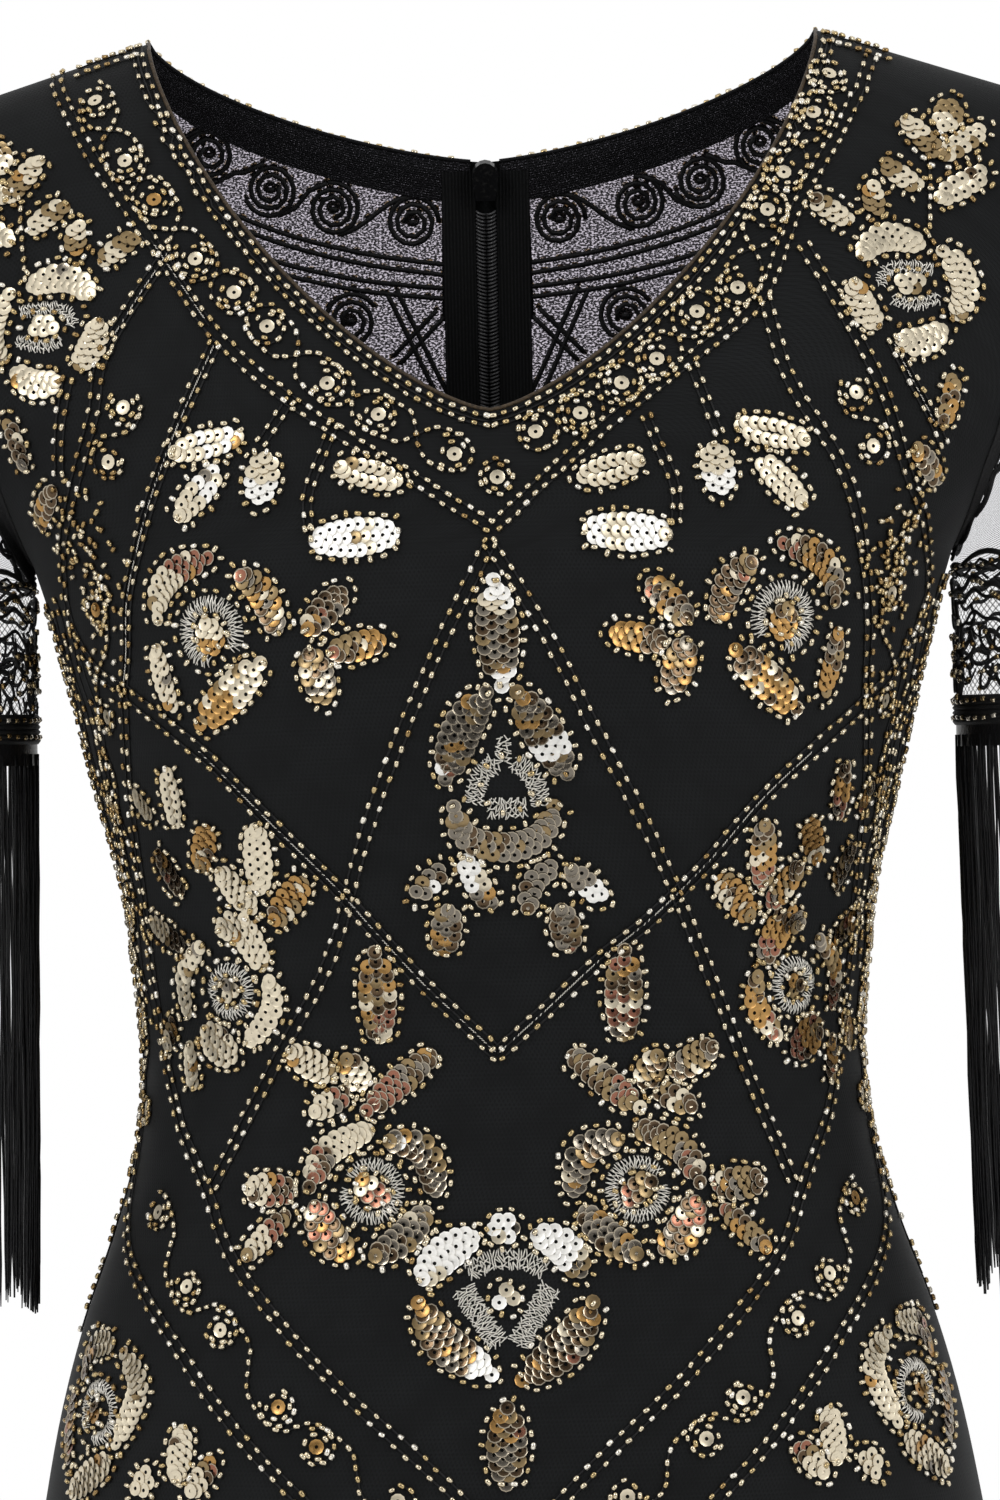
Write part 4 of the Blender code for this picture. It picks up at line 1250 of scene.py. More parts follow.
for flip in (1.0, -1.0):
    turned = (flip, 1.0)
    for inset in (0.0024, 0.0056):
        row_of_beads(FRONT, neck_edge(FRONT, inset, 0.012, 0.97) * turned, 0.0041)
    put_cord(FRONT, smooth_line(neck_edge(FRONT, 0.004, 0.0, 0.98) * turned, 0.0025))
    for inset in (0.0002, 0.0040):
        row_of_beads(BACK, neck_edge(BACK, inset, 0.13, 0.98) * turned, 0.0043)
    for side in (FRONT, BACK):
        for drop in (0.0012, 0.0046):
            x = np.linspace(0.1185, 0.139, 8)
            z = -(x - NECK_HALF_WIDTH) * SHOULDER_SLOPE - drop
            u = u_at(side, form_angle(side, x, z), z)
            row_of_beads(side, np.stack([u * flip, z], 1), 0.0036)

for points in NECK_BAND:
    double_line(FRONT, points, pitch=0.0042)
for points, first in zip(NECK_FLOWERS, (1, -1)):
    scroll(FRONT, points, 6.6, first, True)
flower(FRONT, (2, -156), 6.2, 60.0, 300.0)

# Stems
row_of_beads(FRONT, np.array(((152, -48), (151, -76))) / 1e3, 0.0036)
row_of_beads(FRONT, np.array(((-159, -56), (-158, -84))) / 1e3, 0.0036)
double_line(FRONT, ((137, -111), (145, -125), (160, -146)), 0.0016)
silver_line(FRONT, ((137, -111), (145, -125), (156, -141)))
double_line(FRONT, ((-144, -119), (-148, -132), (-152, -150)), 0.0016)
double_line(FRONT, ((-76, -142), (-67, -129)), 0.0014)
double_line(FRONT, ((76, -142), (68, -120)), 0.0014)
SPRIG = ((-61, -172), (-61, -160), (-56, -147), (-52, -137))
for flip in (1.0, -1.0):
    double_line(FRONT, np.array(SPRIG) * (flip, 1), 0.0014)


def seam_row(side, flip, offset, top, bottom):
    """A loose row of beads, with gaps, at about this distance in mm from the side seam."""
    z = np.linspace(top - rng.uniform(0.0, 12.0), bottom + rng.uniform(0.0, 24.0), 36) / 1e3
    u = girth(side, z) - offset / 1e3 - 0.0020 * np.sin(z * 170.0 + offset * 2.0 + flip)
    line = smooth_line(np.stack([u * flip, z], 1), CURL_PITCH)
    put_cord(side, line)
    line = line + rng.normal(0.0, 0.0006, line.shape)
    kept = 0.58 if offset < 12.0 else 0.80
    for spot, way in zip(line, directions(line)):
        if rng.random() < kept:
            put_bead(side, *spot, math.atan2(way[1], way[0]))


# Distance from the side seam, top and bottom in mm
SEAM_ROWS = (
    (2, -188, -450),
    (10, -186, -412),
    (18, -186, -365),
    (26, -187, -346),
    (33, -188, -336),
    (40, -190, -318),
    (46.5, -192, -296),
    (52.5, -198, -270),
    (58, -206, -240),
)
for side in (FRONT, BACK):
    for flip in (1.0, -1.0):
        for offset, top, bottom in SEAM_ROWS:
            seam_row(side, flip, offset, top, bottom)
# Single beads below the armholes
for flip in (1.0, -1.0):
    for u, z in rng.normal((146.0, -181.0), (7.0, 15.0), (95, 2)):
        put_bead(FRONT, u * flip / 1e3, z / 1e3, rng.uniform(0.0, math.pi))

# Bands down the sides and over the hips
UPPER_FLOWERS = np.array(((-124, -129), (-131, -147)))
SIDE_FLOWERS = ((-148, -196), (-152, -232), (-160, -262), (-158, -300), (-154, -336), (-149, -366))
HIP_FLOWERS = ((-130, -400), (-113, -424), (-99, -438), (-78, -463), (-65, -476), (-38, -494))
# The hip band's inner and outer edge, and the side band's inner edge
BAND_EDGES = (
    (
        *((-120, -371), (-106, -392), (-96, -413), (-77, -436)),
        *((-56, -458), (-37, -475), (-19, -492), (0, -512)),
    ),
    (
        *((-162, -233), (-160, -270), (-158, -310), (-156, -345), (-157, -372)),
        *((-157, -393), (-150, -410), (-133, -427), (-119, -441), (-102, -461)),
        *((-87, -478), (-68, -496), (-40, -520), (0, -549)),
    ),
    ((-139, -223), (-143, -262), (-141, -300), (-133, -340), (-120, -371)),
)
for side in (FRONT, BACK):
    for flip in (1.0, -1.0):
        turned = (flip, 1.0)
        for points in BAND_EDGES:
            double_line(side, np.array(points) * turned)
        scroll(side, np.array(SIDE_FLOWERS) * turned, 6.0, int(flip))
        scroll(side, np.array(HIP_FLOWERS) * turned, 6.6, int(flip))
for flip in (1, -1):
    scroll(FRONT, UPPER_FLOWERS * (flip, 1), 6.4, flip)

# The back repeats the front below a band that follows its own neckline
BACK_SPOTS = dict(FRONT_LEFT, chest=(-72, -143), shoulder=(-146, -98))
shared_design(BACK, BACK_SPOTS, {key: (-u, z) for key, (u, z) in BACK_SPOTS.items()})
BACK_CURLS = ((-26, -58), (-54, -53), (-76, -46), (-97, -34), (-117, -20))
BACK_BAND = (
    ((-5, -76), (-45, -70), (-80, -60), (-112, -44), (-138, -22)),
    ((-5, -84), (-48, -79), (-85, -69), (-118, -51), (-145, -28)),
)
BACK_LATTICE = (
    ((-5, -150), (-18, -211), (-35, -249), (-54, -305), (-73, -341), (-103, -390)),
    ((-5, -142), (-20, -112), (-34, -82)),
    ((-17, -90), (-33, -106)),
    ((-139, -223), (-104, -244), (-57, -288), (-27, -322), (-5, -345)),
    ((-100, -80), (-112, -120), (-124, -170), (-134, -205), (-139, -223)),
    (
        *((-118, -62), (-134, -110), (-150, -160), (-163, -182)),
        *((-169, -199), (-157, -215), (-139, -223)),
    ),
)
for flip in (1.0, -1.0):
    turned = (flip, 1.0)
    for points in BACK_BAND:
        double_line(BACK, np.array(points) * turned)
    for k, centre in enumerate(BACK_CURLS):
        spiral(BACK, np.array(centre) * turned, 9.4, 100 * k, (-1) ** k)
    for (u, z), (far_u, far_z) in zip(BACK_CURLS, BACK_CURLS[1:]):
        wave = ((u - 2, z + 9), (u - 9, z + 6), (far_u + 9, far_z - 6), (far_u + 2, far_z - 9))
        row_of_beads(BACK, np.array(wave) * turned / 1e3, CURL_PITCH)
    spiral(BACK, np.array((-49, -92)) * turned, 10.0, 30, 1)
    spiral(BACK, np.array((-84, -84)) * turned, 9.0, 200, -1)
    for points in BACK_LATTICE:
        double_line(BACK, np.array(points) * turned)

# ---------------------------------------------------------------- embroidery, built


def panel_of(side, u, z):
    """Where each item ends up: 0 front, 1 back left, 2 back right."""
    panel, uu, _ = wrapped(side, u, z)
    return np.where(panel == FRONT, 0, np.where(uu > 0, 1, 2))


PANELS = ("front", "back_left", "back_right")
SEQUIN_TURNS, BEAD_TURNS = 10, 5
# The height where the beads of a panel are split into an upper and a lower piece
BEADS_SPLIT_Z = -0.27


def sequin_template():
    """A shallow cup with a small hole, seen from its face. Radius 1."""
    rim = circle(np.linspace(0, 2 * math.pi, SEQUIN_TURNS, endpoint=False))
    rings = ((0.25, 0.0), (0.84, 0.0), (1.0, 0.05))
    points = [np.column_stack([rim * r, np.full(SEQUIN_TURNS, h)]) for r, h in rings]
    return np.vstack(points), grid_faces(3, SEQUIN_TURNS, ring=True, flip=True)


def bead_template():
    """A short barrel along X with rounded shoulders. Radius and half length 1."""
    rim = circle(np.linspace(0, 2 * math.pi, BEAD_TURNS, endpoint=False))
    rings = ((0.66, -1.0), (1.0, -0.68), (1.0, 0.68), (0.66, 1.0))
    points = [np.column_stack([np.full(BEAD_TURNS, x), rim * r]) for r, x in rings]
    return np.vstack(points), grid_faces(4, BEAD_TURNS, ring=True, flip=True)


def laid(gathered, side, margin):
    """The gathered items that lie on a panel: their rows, their panels and on_cloth there."""
    data = np.array(gathered[side])
    data = data[inside_panel(side, data[:, 0], data[:, 1], margin)]
    u, z = data[:, 0], data[:, 1]
    return data, panel_of(side, u, z), on_cloth(side, u, z)


def build_sequins(made):
    template, faces = sequin_template()
    heaps = [Heap() for _ in PANELS]
    for side in (FRONT, BACK):
        data, where, (point, normal, across, up) = laid(sequins, side, 0.0022)
        lean, tilt = data[:, 2, None], np.radians(data[:, 3, None])
        ahead = across * np.cos(lean) + up * np.sin(lean)
        x_axis = ahead * np.cos(tilt) + normal * np.sin(tilt)
        roll = np.radians(data[:, 4] + rng.normal(0, 0.8, len(data)))[:, None]
        y_axis = unit(np.cross(normal, ahead) + normal * np.tan(roll))
        z_axis = unit(np.cross(x_axis, y_axis))
        x_axis = np.cross(y_axis, z_axis)
        axes = np.stack([x_axis, y_axis, z_axis], axis=1) * SEQUIN_RADIUS
        centre = point + normal * SEQUIN_LIFT
        for k, heap in enumerate(heaps):
            for look, letter in enumerate(FOIL_ORDER):
                chosen = (where == k) & (data[:, 5] == look)
                if chosen.any():
                    points, quads = stamped(template, faces, centre[chosen], axes[chosen])
                    # The rims of dark sequins take a lighter foil: a painted highlight along the rim
                    rim = len(FOIL_ORDER) if letter in DARK_FOILS else look
                    outer = (np.arange(len(quads)) // SEQUIN_TURNS) % 2 == 1
                    heap.add(points, quads, np.where(outer, rim, look))
    looks = [FOILS[letter] for letter in FOIL_ORDER] + [RIM_PAINTED_HIGHLIGHT]
    for name, heap in zip(PANELS, heaps):
        made[name].append(("sequin", heap.object(f"sequins_{name}", looks)))


def build_beads(made):
    template, faces = bead_template()
    heaps = {}
    for side in (FRONT, BACK):
        data, where, (point, normal, across, up) = laid(beads, side, -0.0008)
        z, along = data[:, 1], data[:, 2, None]
        x_axis = across * np.cos(along) + up * np.sin(along)
        x_axis = unit(x_axis + normal * rng.normal(0, 0.12, (len(data), 1)))
        y_axis = unit(np.cross(normal, x_axis))
        z_axis = np.cross(x_axis, y_axis)
        scale = BEAD_SIZE * rng.uniform(0.9, 1.1, (len(data), 1))
        axes = np.stack([x_axis, y_axis, z_axis], axis=1) * scale[:, :, None]
        centre = point + normal * (BEAD_RADIUS + 0.0001)
        for k, name in enumerate(PANELS):
            for part, zone in (("upper", z > BEADS_SPLIT_Z), ("lower", z <= BEADS_SPLIT_Z)):
                for look in range(len(GLASS)):
                    chosen = (where == k) & zone & (data[:, 3] == look)
                    if chosen.any():
                        points, quads = stamped(template, faces, centre[chosen], axes[chosen])
                        heaps.setdefault((name, part), Heap()).add(points, quads, look)
    for (name, part), heap in heaps.items():
        made[name].append(("bead", heap.object(f"beads_{name}_{part}", GLASS)))


def build_cords(made):
    heaps = {name: Heap() for name in PANELS}
    for side in (FRONT, BACK):
        for line, radius, look, lift in cords[side]:
            u, z = line[:, 0], line[:, 1]
            keep = inside_panel(side, u, z, 0.0004)
            where = panel_of(side, u, z)
            start = 0
            for k in range(1, len(line) + 1):
                if k < len(line) and keep[k] == keep[start] and where[k] == where[start]:
                    continue
                if keep[start] and k - start >= 2:
                    point, normal, _, _ = on_cloth(side, u[start:k], z[start:k])
                    flat = 0.7 if lift > 0 else 0.3
                    middle = point + normal * (lift + radius * 0.4)
                    points, blocks = tube(middle, normal, radius, 4, flat)
                    heaps[PANELS[where[start]]].add(points, blocks, look)
                start = k
    for name, heap in heaps.items():
        made[name].append(("cord", heap.object(f"cords_{name}", [CORD, SILVER])))


def stitched(side, spine):
    """Directions along and across a spine, each point's panel, and which points to keep."""
    along, (u, z) = directions(spine), spine.T
    return along, leftward(along), panel_of(side, u, z), inside_panel(side, u, z, 0.003)


def stitch(heap, side, line, heights, radius):
    """A thread along a line of the chart, raised over the cloth by these heights."""
    point, normal, _, _ = on_cloth(side, line[:, 0], line[:, 1])
    lifted = point + normal * np.array(heights)[:, None]
    heap.add(*tube(lifted, normal, radius, 4, ends=False))


def add_chips(heaps, side, spine, width):
    """Short raised loops of silver thread, side by side in rows across a spine."""
    along, across, where, keep = stitched(side, spine)
    count = max(int(round(width / 0.0020)), 1)
    shares = np.array((-0.5, 0.0, 0.5))[:, None]
    for k in np.flatnonzero(keep):
        for place in (np.arange(count) + 0.5) / count - 0.5:
            centre = spine[k] + across[k] * (place * width + rng.normal(0.0, 0.0002))
            turn = (-1) ** k * 0.35 + rng.normal(0.0, 0.45)
            way = across[k] * math.cos(turn) + along[k] * math.sin(turn)
            line = centre + way * CHIP_LENGTH * rng.uniform(0.8, 1.15) * shares
            tall = 0.0009 + rng.uniform(0, 0.0006)
            stitch(heaps[PANELS[where[k]]], side, line, (0.0002, tall, 0.0002), 0.00024)


def add_satin(heaps, side, spine, width):
    """Raised threads laid in a tight zigzag across a spine."""
    along, across, where, keep = stitched(side, spine)
    count = np.arange(len(spine))
    ends = np.minimum(count, count[::-1]) * STITCH_SPACING
    rounded = np.clip(0.55 + ends / 0.003, 0.0, 1.0)
    shares = np.array((-1.0, -0.35, 0.35, 1.0))[:, None]
    for k in np.flatnonzero(keep):
        half = width / 2.0 * rng.uniform(0.84, 1.06) * rounded[k]
        slant = (-1) ** k * 0.00055 + rng.normal(0.0, 0.00030)
        bow = rng.normal(0, 0.00014, (4, 1))
        line = spine[k] + across[k] * half * shares + along[k] * (slant * shares + bow)
        tall = 0.0009 + rng.uniform(0, 0.0005)
        stitch(heaps[PANELS[where[k]]], side, line, (0.0002, tall, tall, 0.0002), 0.00021)


def build_pads(made):
    heaps = {name: Heap() for name in PANELS}
    for side in (FRONT, BACK):
        for spine, width in pads[side]:
            add_satin(heaps, side, spine, width)
        for spine, width in chips[side]:
            add_chips(heaps, side, spine, width)
    for name, heap in heaps.items():
        if heap.count:
            made[name].append(("bullion", heap.object(f"satin_{name}", [SILVER])))


def ride_with(piece, slot):
    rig.ride(piece, BODY)
    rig.slot(piece, slot)
    return piece


made = {name: [] for name in PANELS}
build_sequins(made)
build_beads(made)
build_cords(made)
build_pads(made)
for name in PANELS:
    for slot, piece in made[name]:
        ride_with(piece, slot)

# ---------------------------------------------------------------- the cloth of the dress

LOWER = np.concatenate([np.linspace(HEM_Z, -0.46, 62), np.linspace(-0.455, UNDERARM_Z, 56)])
UPPER_STEPS, COLUMN_STEPS, NECK_SHARE = 48, 72, 2.0 / 3.0
NECK_ROLL, HEM_ROLL = 0.0007, 0.0009


def even_curve(curve, shares):
    fine = np.linspace(0.0, 1.0, 2000)
    run = run_along(curve(fine))
    return curve(np.interp(shares * run[-1], run, fine))


def panel_grid(side):
    """(angle, z) of the +X half of a panel, as rows from hem to top."""
    across = np.linspace(0.0, 1.0, COLUMN_STEPS + 1)
    wide, deep = half_width(side, UNDERARM_Z), depth(side, 0.0, UNDERARM_Z)

    def quarter(width, height, exponent):
        """A quarter of a rounded box's outline, from its middle to its side."""

        def curve(share):
            turn = share * math.pi / 2.0
            x, y = np.sin(turn), np.abs(np.cos(turn))
            return np.stack([width * x ** (2.0 / exponent), height * y ** (2.0 / exponent)], 1)

        return curve

    base_x = even_curve(quarter(wide, deep, EXPONENT), across)[:, 0]
    base_x[-1] = wide
    angles = [form_angle(side, base_x, UNDERARM_Z)] * len(LOWER)
    heights = [np.full(len(across), z) for z in LOWER]
    neck = quarter(NECK_HALF_WIDTH, -NECK_DROP[side], NECKLINE_EXPONENT)
    tops = even_curve(neck, np.clip(across / NECK_SHARE, 0, 1))
    beyond = across > NECK_SHARE + 1e-9
    out = (across[beyond] - NECK_SHARE) / (1.0 - NECK_SHARE)
    tops[beyond, 0] = mix(NECK_HALF_WIDTH, SHOULDER_TIP_X, out)
    tops[beyond, 1] = -(tops[beyond, 0] - NECK_HALF_WIDTH) * SHOULDER_SLOPE
    tops[~beyond & (across > NECK_SHARE - 1e-9)] = (NECK_HALF_WIDTH, 0.0)
    for share in np.linspace(0.0, 1.0, UPPER_STEPS + 1)[1:]:
        rounded = (1.0 - math.cos(math.pi * share)) / 2.0
        height = mix(UNDERARM_Z, SHOULDER_TIP_Z, rounded)
        bulge = lookup(ARMHOLE, 1, np.array(height)) - mix(base_x[-1], SHOULDER_TIP_X, rounded)
        rise = mix(share, rounded, across)
        x = mix(base_x, tops[:, 0], rise) + bulge * across**3
        z = mix(UNDERARM_Z, tops[:, 1], rise)
        angles.append(form_angle(side, x, z))
        heights.append(z)
    return np.array(angles), np.array(heights)


def half_cloth(side, sign):
    """Points of the cloth's +X or -X half, as rows from hem to top."""
    angle, z = panel_grid(side)
    angle = angle * sign
    lift = crease(side, u_at(side, angle, z), z)[..., None]
    points = form(side, angle, z) + form_normal(side, angle, z) * lift
    points[..., 1] = np.where(np.abs(points[..., 1]) < 1e-5, 0.0, points[..., 1])
    return points


front_grid = np.concatenate([half_cloth(FRONT, -1)[:, :0:-1], half_cloth(FRONT, 1)], axis=1)
front = grid_mesh("front_cloth", front_grid, [NET])
backs = {}
for word, sign in SIDES:
    grid = half_cloth(BACK, sign)
    grid[:, 0, 0] = 0.0
    points = grid.reshape(-1, 3)
    faces = grid_faces(*grid.shape[:2], flip=sign > 0)
    middle = points[faces].mean(axis=1)
    # The yoke is sheer but for the doubled cloth that the zip is sewn to
    sheer = (middle[:, 2] > -0.193) & (np.abs(middle[:, 0]) > 0.0150)
    looks = [NET, YOKE]
    backs[word] = link(f"back_cloth_{word}", points, faces, looks, sheer.astype(int), grid_uv(grid))


def edging(name, points, normals, radius, look):
    heap = Heap()
    heap.add(*tube(points, normals, radius, 8))
    return ride_with(heap.object(name, [look]), "jersey")


def hem_roll(name, line):
    upward = np.tile((0.0, 0.0, 1.0), (len(line), 1))
    return edging(name, line + upward * HEM_ROLL, upward, HEM_ROLL, NET)


def panel_edge(side, sign, row=-1):
    """The points and normals along a panel's row, from the centre out."""
    angle, z = panel_grid(side)
    angle, z = angle[row] * sign, z[row]
    return form(side, angle, z), form_normal(side, angle, z)


neck_count = int(COLUMN_STEPS * NECK_SHARE) + 1
halves = [panel_edge(FRONT, sign) for sign in (-1.0, 1.0)]
points, normals = (
    np.vstack([minus[:neck_count][:0:-1], plus[:neck_count]]) for minus, plus in zip(*halves)
)
front_pieces = [
    edging("front_neck_edge", points, normals, NECK_ROLL, PIPING),
    hem_roll("front_hem_roll", front_grid[0]),
]
back_pieces = {}
for word, sign in SIDES:
    points, normals = (values[2:neck_count] for values in panel_edge(BACK, sign))
    back_pieces[word] = [
        edging(f"back_neck_edge_{word}", points, normals, NECK_ROLL, FACING),
        hem_roll(f"back_hem_roll_{word}", panel_edge(BACK, sign, 0)[0]),
    ]

ride_with(front, "jersey")
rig.replaces(front, "front_panel")
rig.sheet(
    front,
    flat=(0.47, 0.96),
    held="hung",
    area=0.385,
    with_pieces=[piece for _, piece in made["front"]] + front_pieces,
)
for word, sign in SIDES:
    ride_with(backs[word], "jersey")
    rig.replaces(backs[word], f"back_panel_{word}")
    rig.sheet(
        backs[word],
        flat=(0.25, 0.96),
        held="hung",
        area=0.207,
        with_pieces=[piece for _, piece in made[f"back_{word}"]] + back_pieces[word],
    )

# ---------------------------------------------------------------- sleeves, cuffs and fringe

SEAM_STEPS, SLEEVE_STEPS = 28, 26


def tube_point(angle, z, inset=0.0):
    """A point of the hanging tube at +X. Angle 0 is its outer side, and the front is negative."""
    z = np.asarray(z, float) + 0.0 * angle
    return np.stack(
        [
            TUBE_X + (TUBE_HALF_WIDTH - inset) * np.cos(angle),
            (TUBE_HALF_DEPTH - inset) * np.sin(angle),
            z,
        ],
        axis=-1,
    )


def armhole_side(side):
    """Points, normals and directions away from the body, from the underarm to the tip."""
    share = np.linspace(0.0, 1.0, SEAM_STEPS + 1)
    z = mix(UNDERARM_Z, SHOULDER_TIP_Z, (1.0 - np.cos(math.pi * share)) / 2.0)
    angle = form_angle(side, lookup(ARMHOLE, 1, z), z)
    seam, normal = form(side, angle, z), form_normal(side, angle, z)
    seam[0, 1] = seam[-1, 1] = 0.0
    normal[0] = (1.0, 0.0, 0.0)
    normal[-1] = unit(np.array((SHOULDER_SLOPE, 0.0, 1.0)))
    along = np.gradient(seam, axis=0)
    away = unit(np.cross(along, normal))
    away *= np.where(away[:, :1] < 0, -1.0, 1.0)
    away[0] = (0.0, 0.0, 1.0)
    away[-1] = (normal[-1][2], 0.0, -normal[-1][0])
    return seam, normal, away


def sleeve_grid():
    """Points of the +X sleeve: rings from the armhole to the cuff, each round from the tip
    down the front to the underarm and up the back."""
    front_seam, back_seam = armhole_side(FRONT), armhole_side(BACK)
    starts = np.vstack([front_seam[0][::-1], back_seam[0][1:-1]])
    leaving = np.vstack([front_seam[2][::-1], back_seam[2][1:-1]])
    turn = np.concatenate(
        [
            -math.pi * (1.0 - np.arange(SEAM_STEPS, -1, -1) / SEAM_STEPS),
            math.pi * (1.0 - np.arange(1, SEAM_STEPS) / SEAM_STEPS),
        ]
    )
    ends = tube_point(turn, CUFF_TOP_Z)
    length = np.linalg.norm(ends - starts, axis=1, keepdims=True)
    first = leaving * (0.020 + 0.70 * length)
    last = np.array((0.0, 0.0, -1.0)) * (0.016 + 0.80 * length)
    shares = np.linspace(0.0, 1.0, SLEEVE_STEPS + 1)
    return np.array([hermite(starts, first, ends, last, share) for share in shares])


def ring_normals(grid):
    around = np.roll(grid, -1, axis=1) - np.roll(grid, 1, axis=1)
    down = np.gradient(grid, axis=0)
    return unit(np.cross(around, down))


def on_grid(grid, normals, around, down):
    """Points and normals at shares around and down a ring grid."""
    rows, columns = grid.shape[:2]
    i = np.clip(np.asarray(down) * (rows - 1), 0, rows - 1.001)
    j = (np.asarray(around) % 1.0) * columns
    a, b = (i - i.astype(int))[:, None], (j - j.astype(int))[:, None]
    i, j = i.astype(int), j.astype(int) % columns
    k = (j + 1) % columns
    found = []
    for values in (grid, normals):
        low = mix(values[i, j], values[i, k], b)
        high = mix(values[i + 1, j], values[i + 1, k], b)
        found.append(mix(low, high, a))
    return found[0], unit(found[1])


def flipped(points, sign):
    return points * (sign, 1.0, 1.0)


def trim_object(name, lines, spots, sign):
    """Cord along lines and beads at spots, all as points and normals at the +X side."""
    heap = Heap()
    for points, normals, thick in lines:
        raised = points + normals * 0.0003
        heap.add(*tube(flipped(raised, sign), flipped(normals, sign), thick, 4, 0.8))
    template, faces = bead_template()
    point, normal, along = (flipped(np.array(values), sign) for values in zip(*spots))
    centre, along = point + normal * 0.0010, unit(along)
    y_axis = unit(np.cross(normal, along))
    axes = np.stack([along, y_axis, np.cross(along, y_axis)], axis=1) * BEAD_SIZE[None, :, None]
    looks = rng.choice(4, len(spots), p=(0.3, 0.4, 0.1, 0.2))
    for look in range(4):
        chosen = looks == look
        heap.add(*stamped(template, faces, centre[chosen], axes[chosen]), 1 + look)
    return heap.object(name, [CORD, *GLASS])


def curve_on(net, around, down, thick=0.0006):
    """A cord at shares around and down a net, which is a pair of points and normals."""
    return (*on_grid(*net, around, down), thick)


def beads_on(net, around, down):
    points, normals = on_grid(*net, around, down)
    return list(zip(points, normals, directions(points)))


sleeve_points = sleeve_grid()
sleeve_normals = ring_normals(sleeve_points)
if np.sum(sleeve_normals[13, :, 0] * (sleeve_points[13, :, 0] - TUBE_X)) < 0:
    sleeve_normals = -sleeve_normals
SLEEVE = (sleeve_points, sleeve_normals)
cuff_turn = np.linspace(-math.pi, math.pi, 73)[:-1]
cuff_z = np.linspace(CUFF_TOP_Z, CUFF_BOTTOM_Z, 9)
outward = circle(cuff_turn) / (TUBE_HALF_WIDTH, TUBE_HALF_DEPTH)
outward = unit(np.column_stack([outward, 0 * cuff_turn]))
CUFF = (
    np.array([tube_point(cuff_turn, z) for z in cuff_z]),
    np.tile(outward, (len(cuff_z), 1, 1)),
)


def sleeve_trim(wider):
    """A scalloped band along the armhole, this many mm wider than its least width, and
    corded scrolls with a few beads above the cuff."""
    lines, spots = [], []
    steps = np.linspace(0.0, 1.0, 260)
    run = np.linalg.norm(np.diff(sleeve_points, axis=0), axis=2).sum(axis=0)

    def wave(kind, bends):
        return kind(math.pi * bends * steps)

    def drop(around, distance):
        """Distances in mm below the armhole seam, as shares of the sleeve's length there."""
        place = np.asarray(around) % 1.0 * len(run)
        length = np.interp(place, np.arange(len(run) + 1), np.append(run, run[0]))
        return np.clip(distance / 1e3 / length, 0.0, 0.85)

    edge = 9.0 + wider + 3.4 * np.abs(wave(np.sin, 19)) + 1.6 * wave(np.sin, 8)
    for distance in np.arange(0.7, 6.0 + wider, 1.3):
        lines.append(curve_on(SLEEVE, steps, drop(steps, distance), 0.0010))
    for inward, thick in ((0.0, 0.0008), (1.3, 0.0006)):
        lines.append(curve_on(SLEEVE, steps, drop(steps, edge - inward), thick))
    turn = np.linspace(0, 2 * math.pi, 11)
    for k in range(38):
        around = (k + 0.5 + 0.30 * np.cos(turn)) / 38
        distance = 8.6 + wider + rng.uniform(-0.5, 0.9) + 1.5 * np.sin(turn)
        lines.append(curve_on(SLEEVE, around, drop(around, distance)))
    low = 0.90 - 0.07 * np.abs(wave(np.sin, 11)) - 0.05 * wave(np.sin, 6)
    lines.append(curve_on(SLEEVE, steps, low, 0.0010))
    low = 0.95 - 0.05 * np.abs(wave(np.cos, 11)) - 0.03 * wave(np.sin, 6)
    lines.append(curve_on(SLEEVE, steps, low, 0.0008))
    spots += beads_on(SLEEVE, steps[:-1:4], low[:-1:4] - 0.012)
    share = np.linspace(0.0, 1.0, 8)
    for k in range(11):
        for slant in (-0.5, 0.4):
            lines.append(curve_on(SLEEVE, (k + 0.5 + slant * share) / 11, 0.84 + 0.15 * share))
    return lines, spots


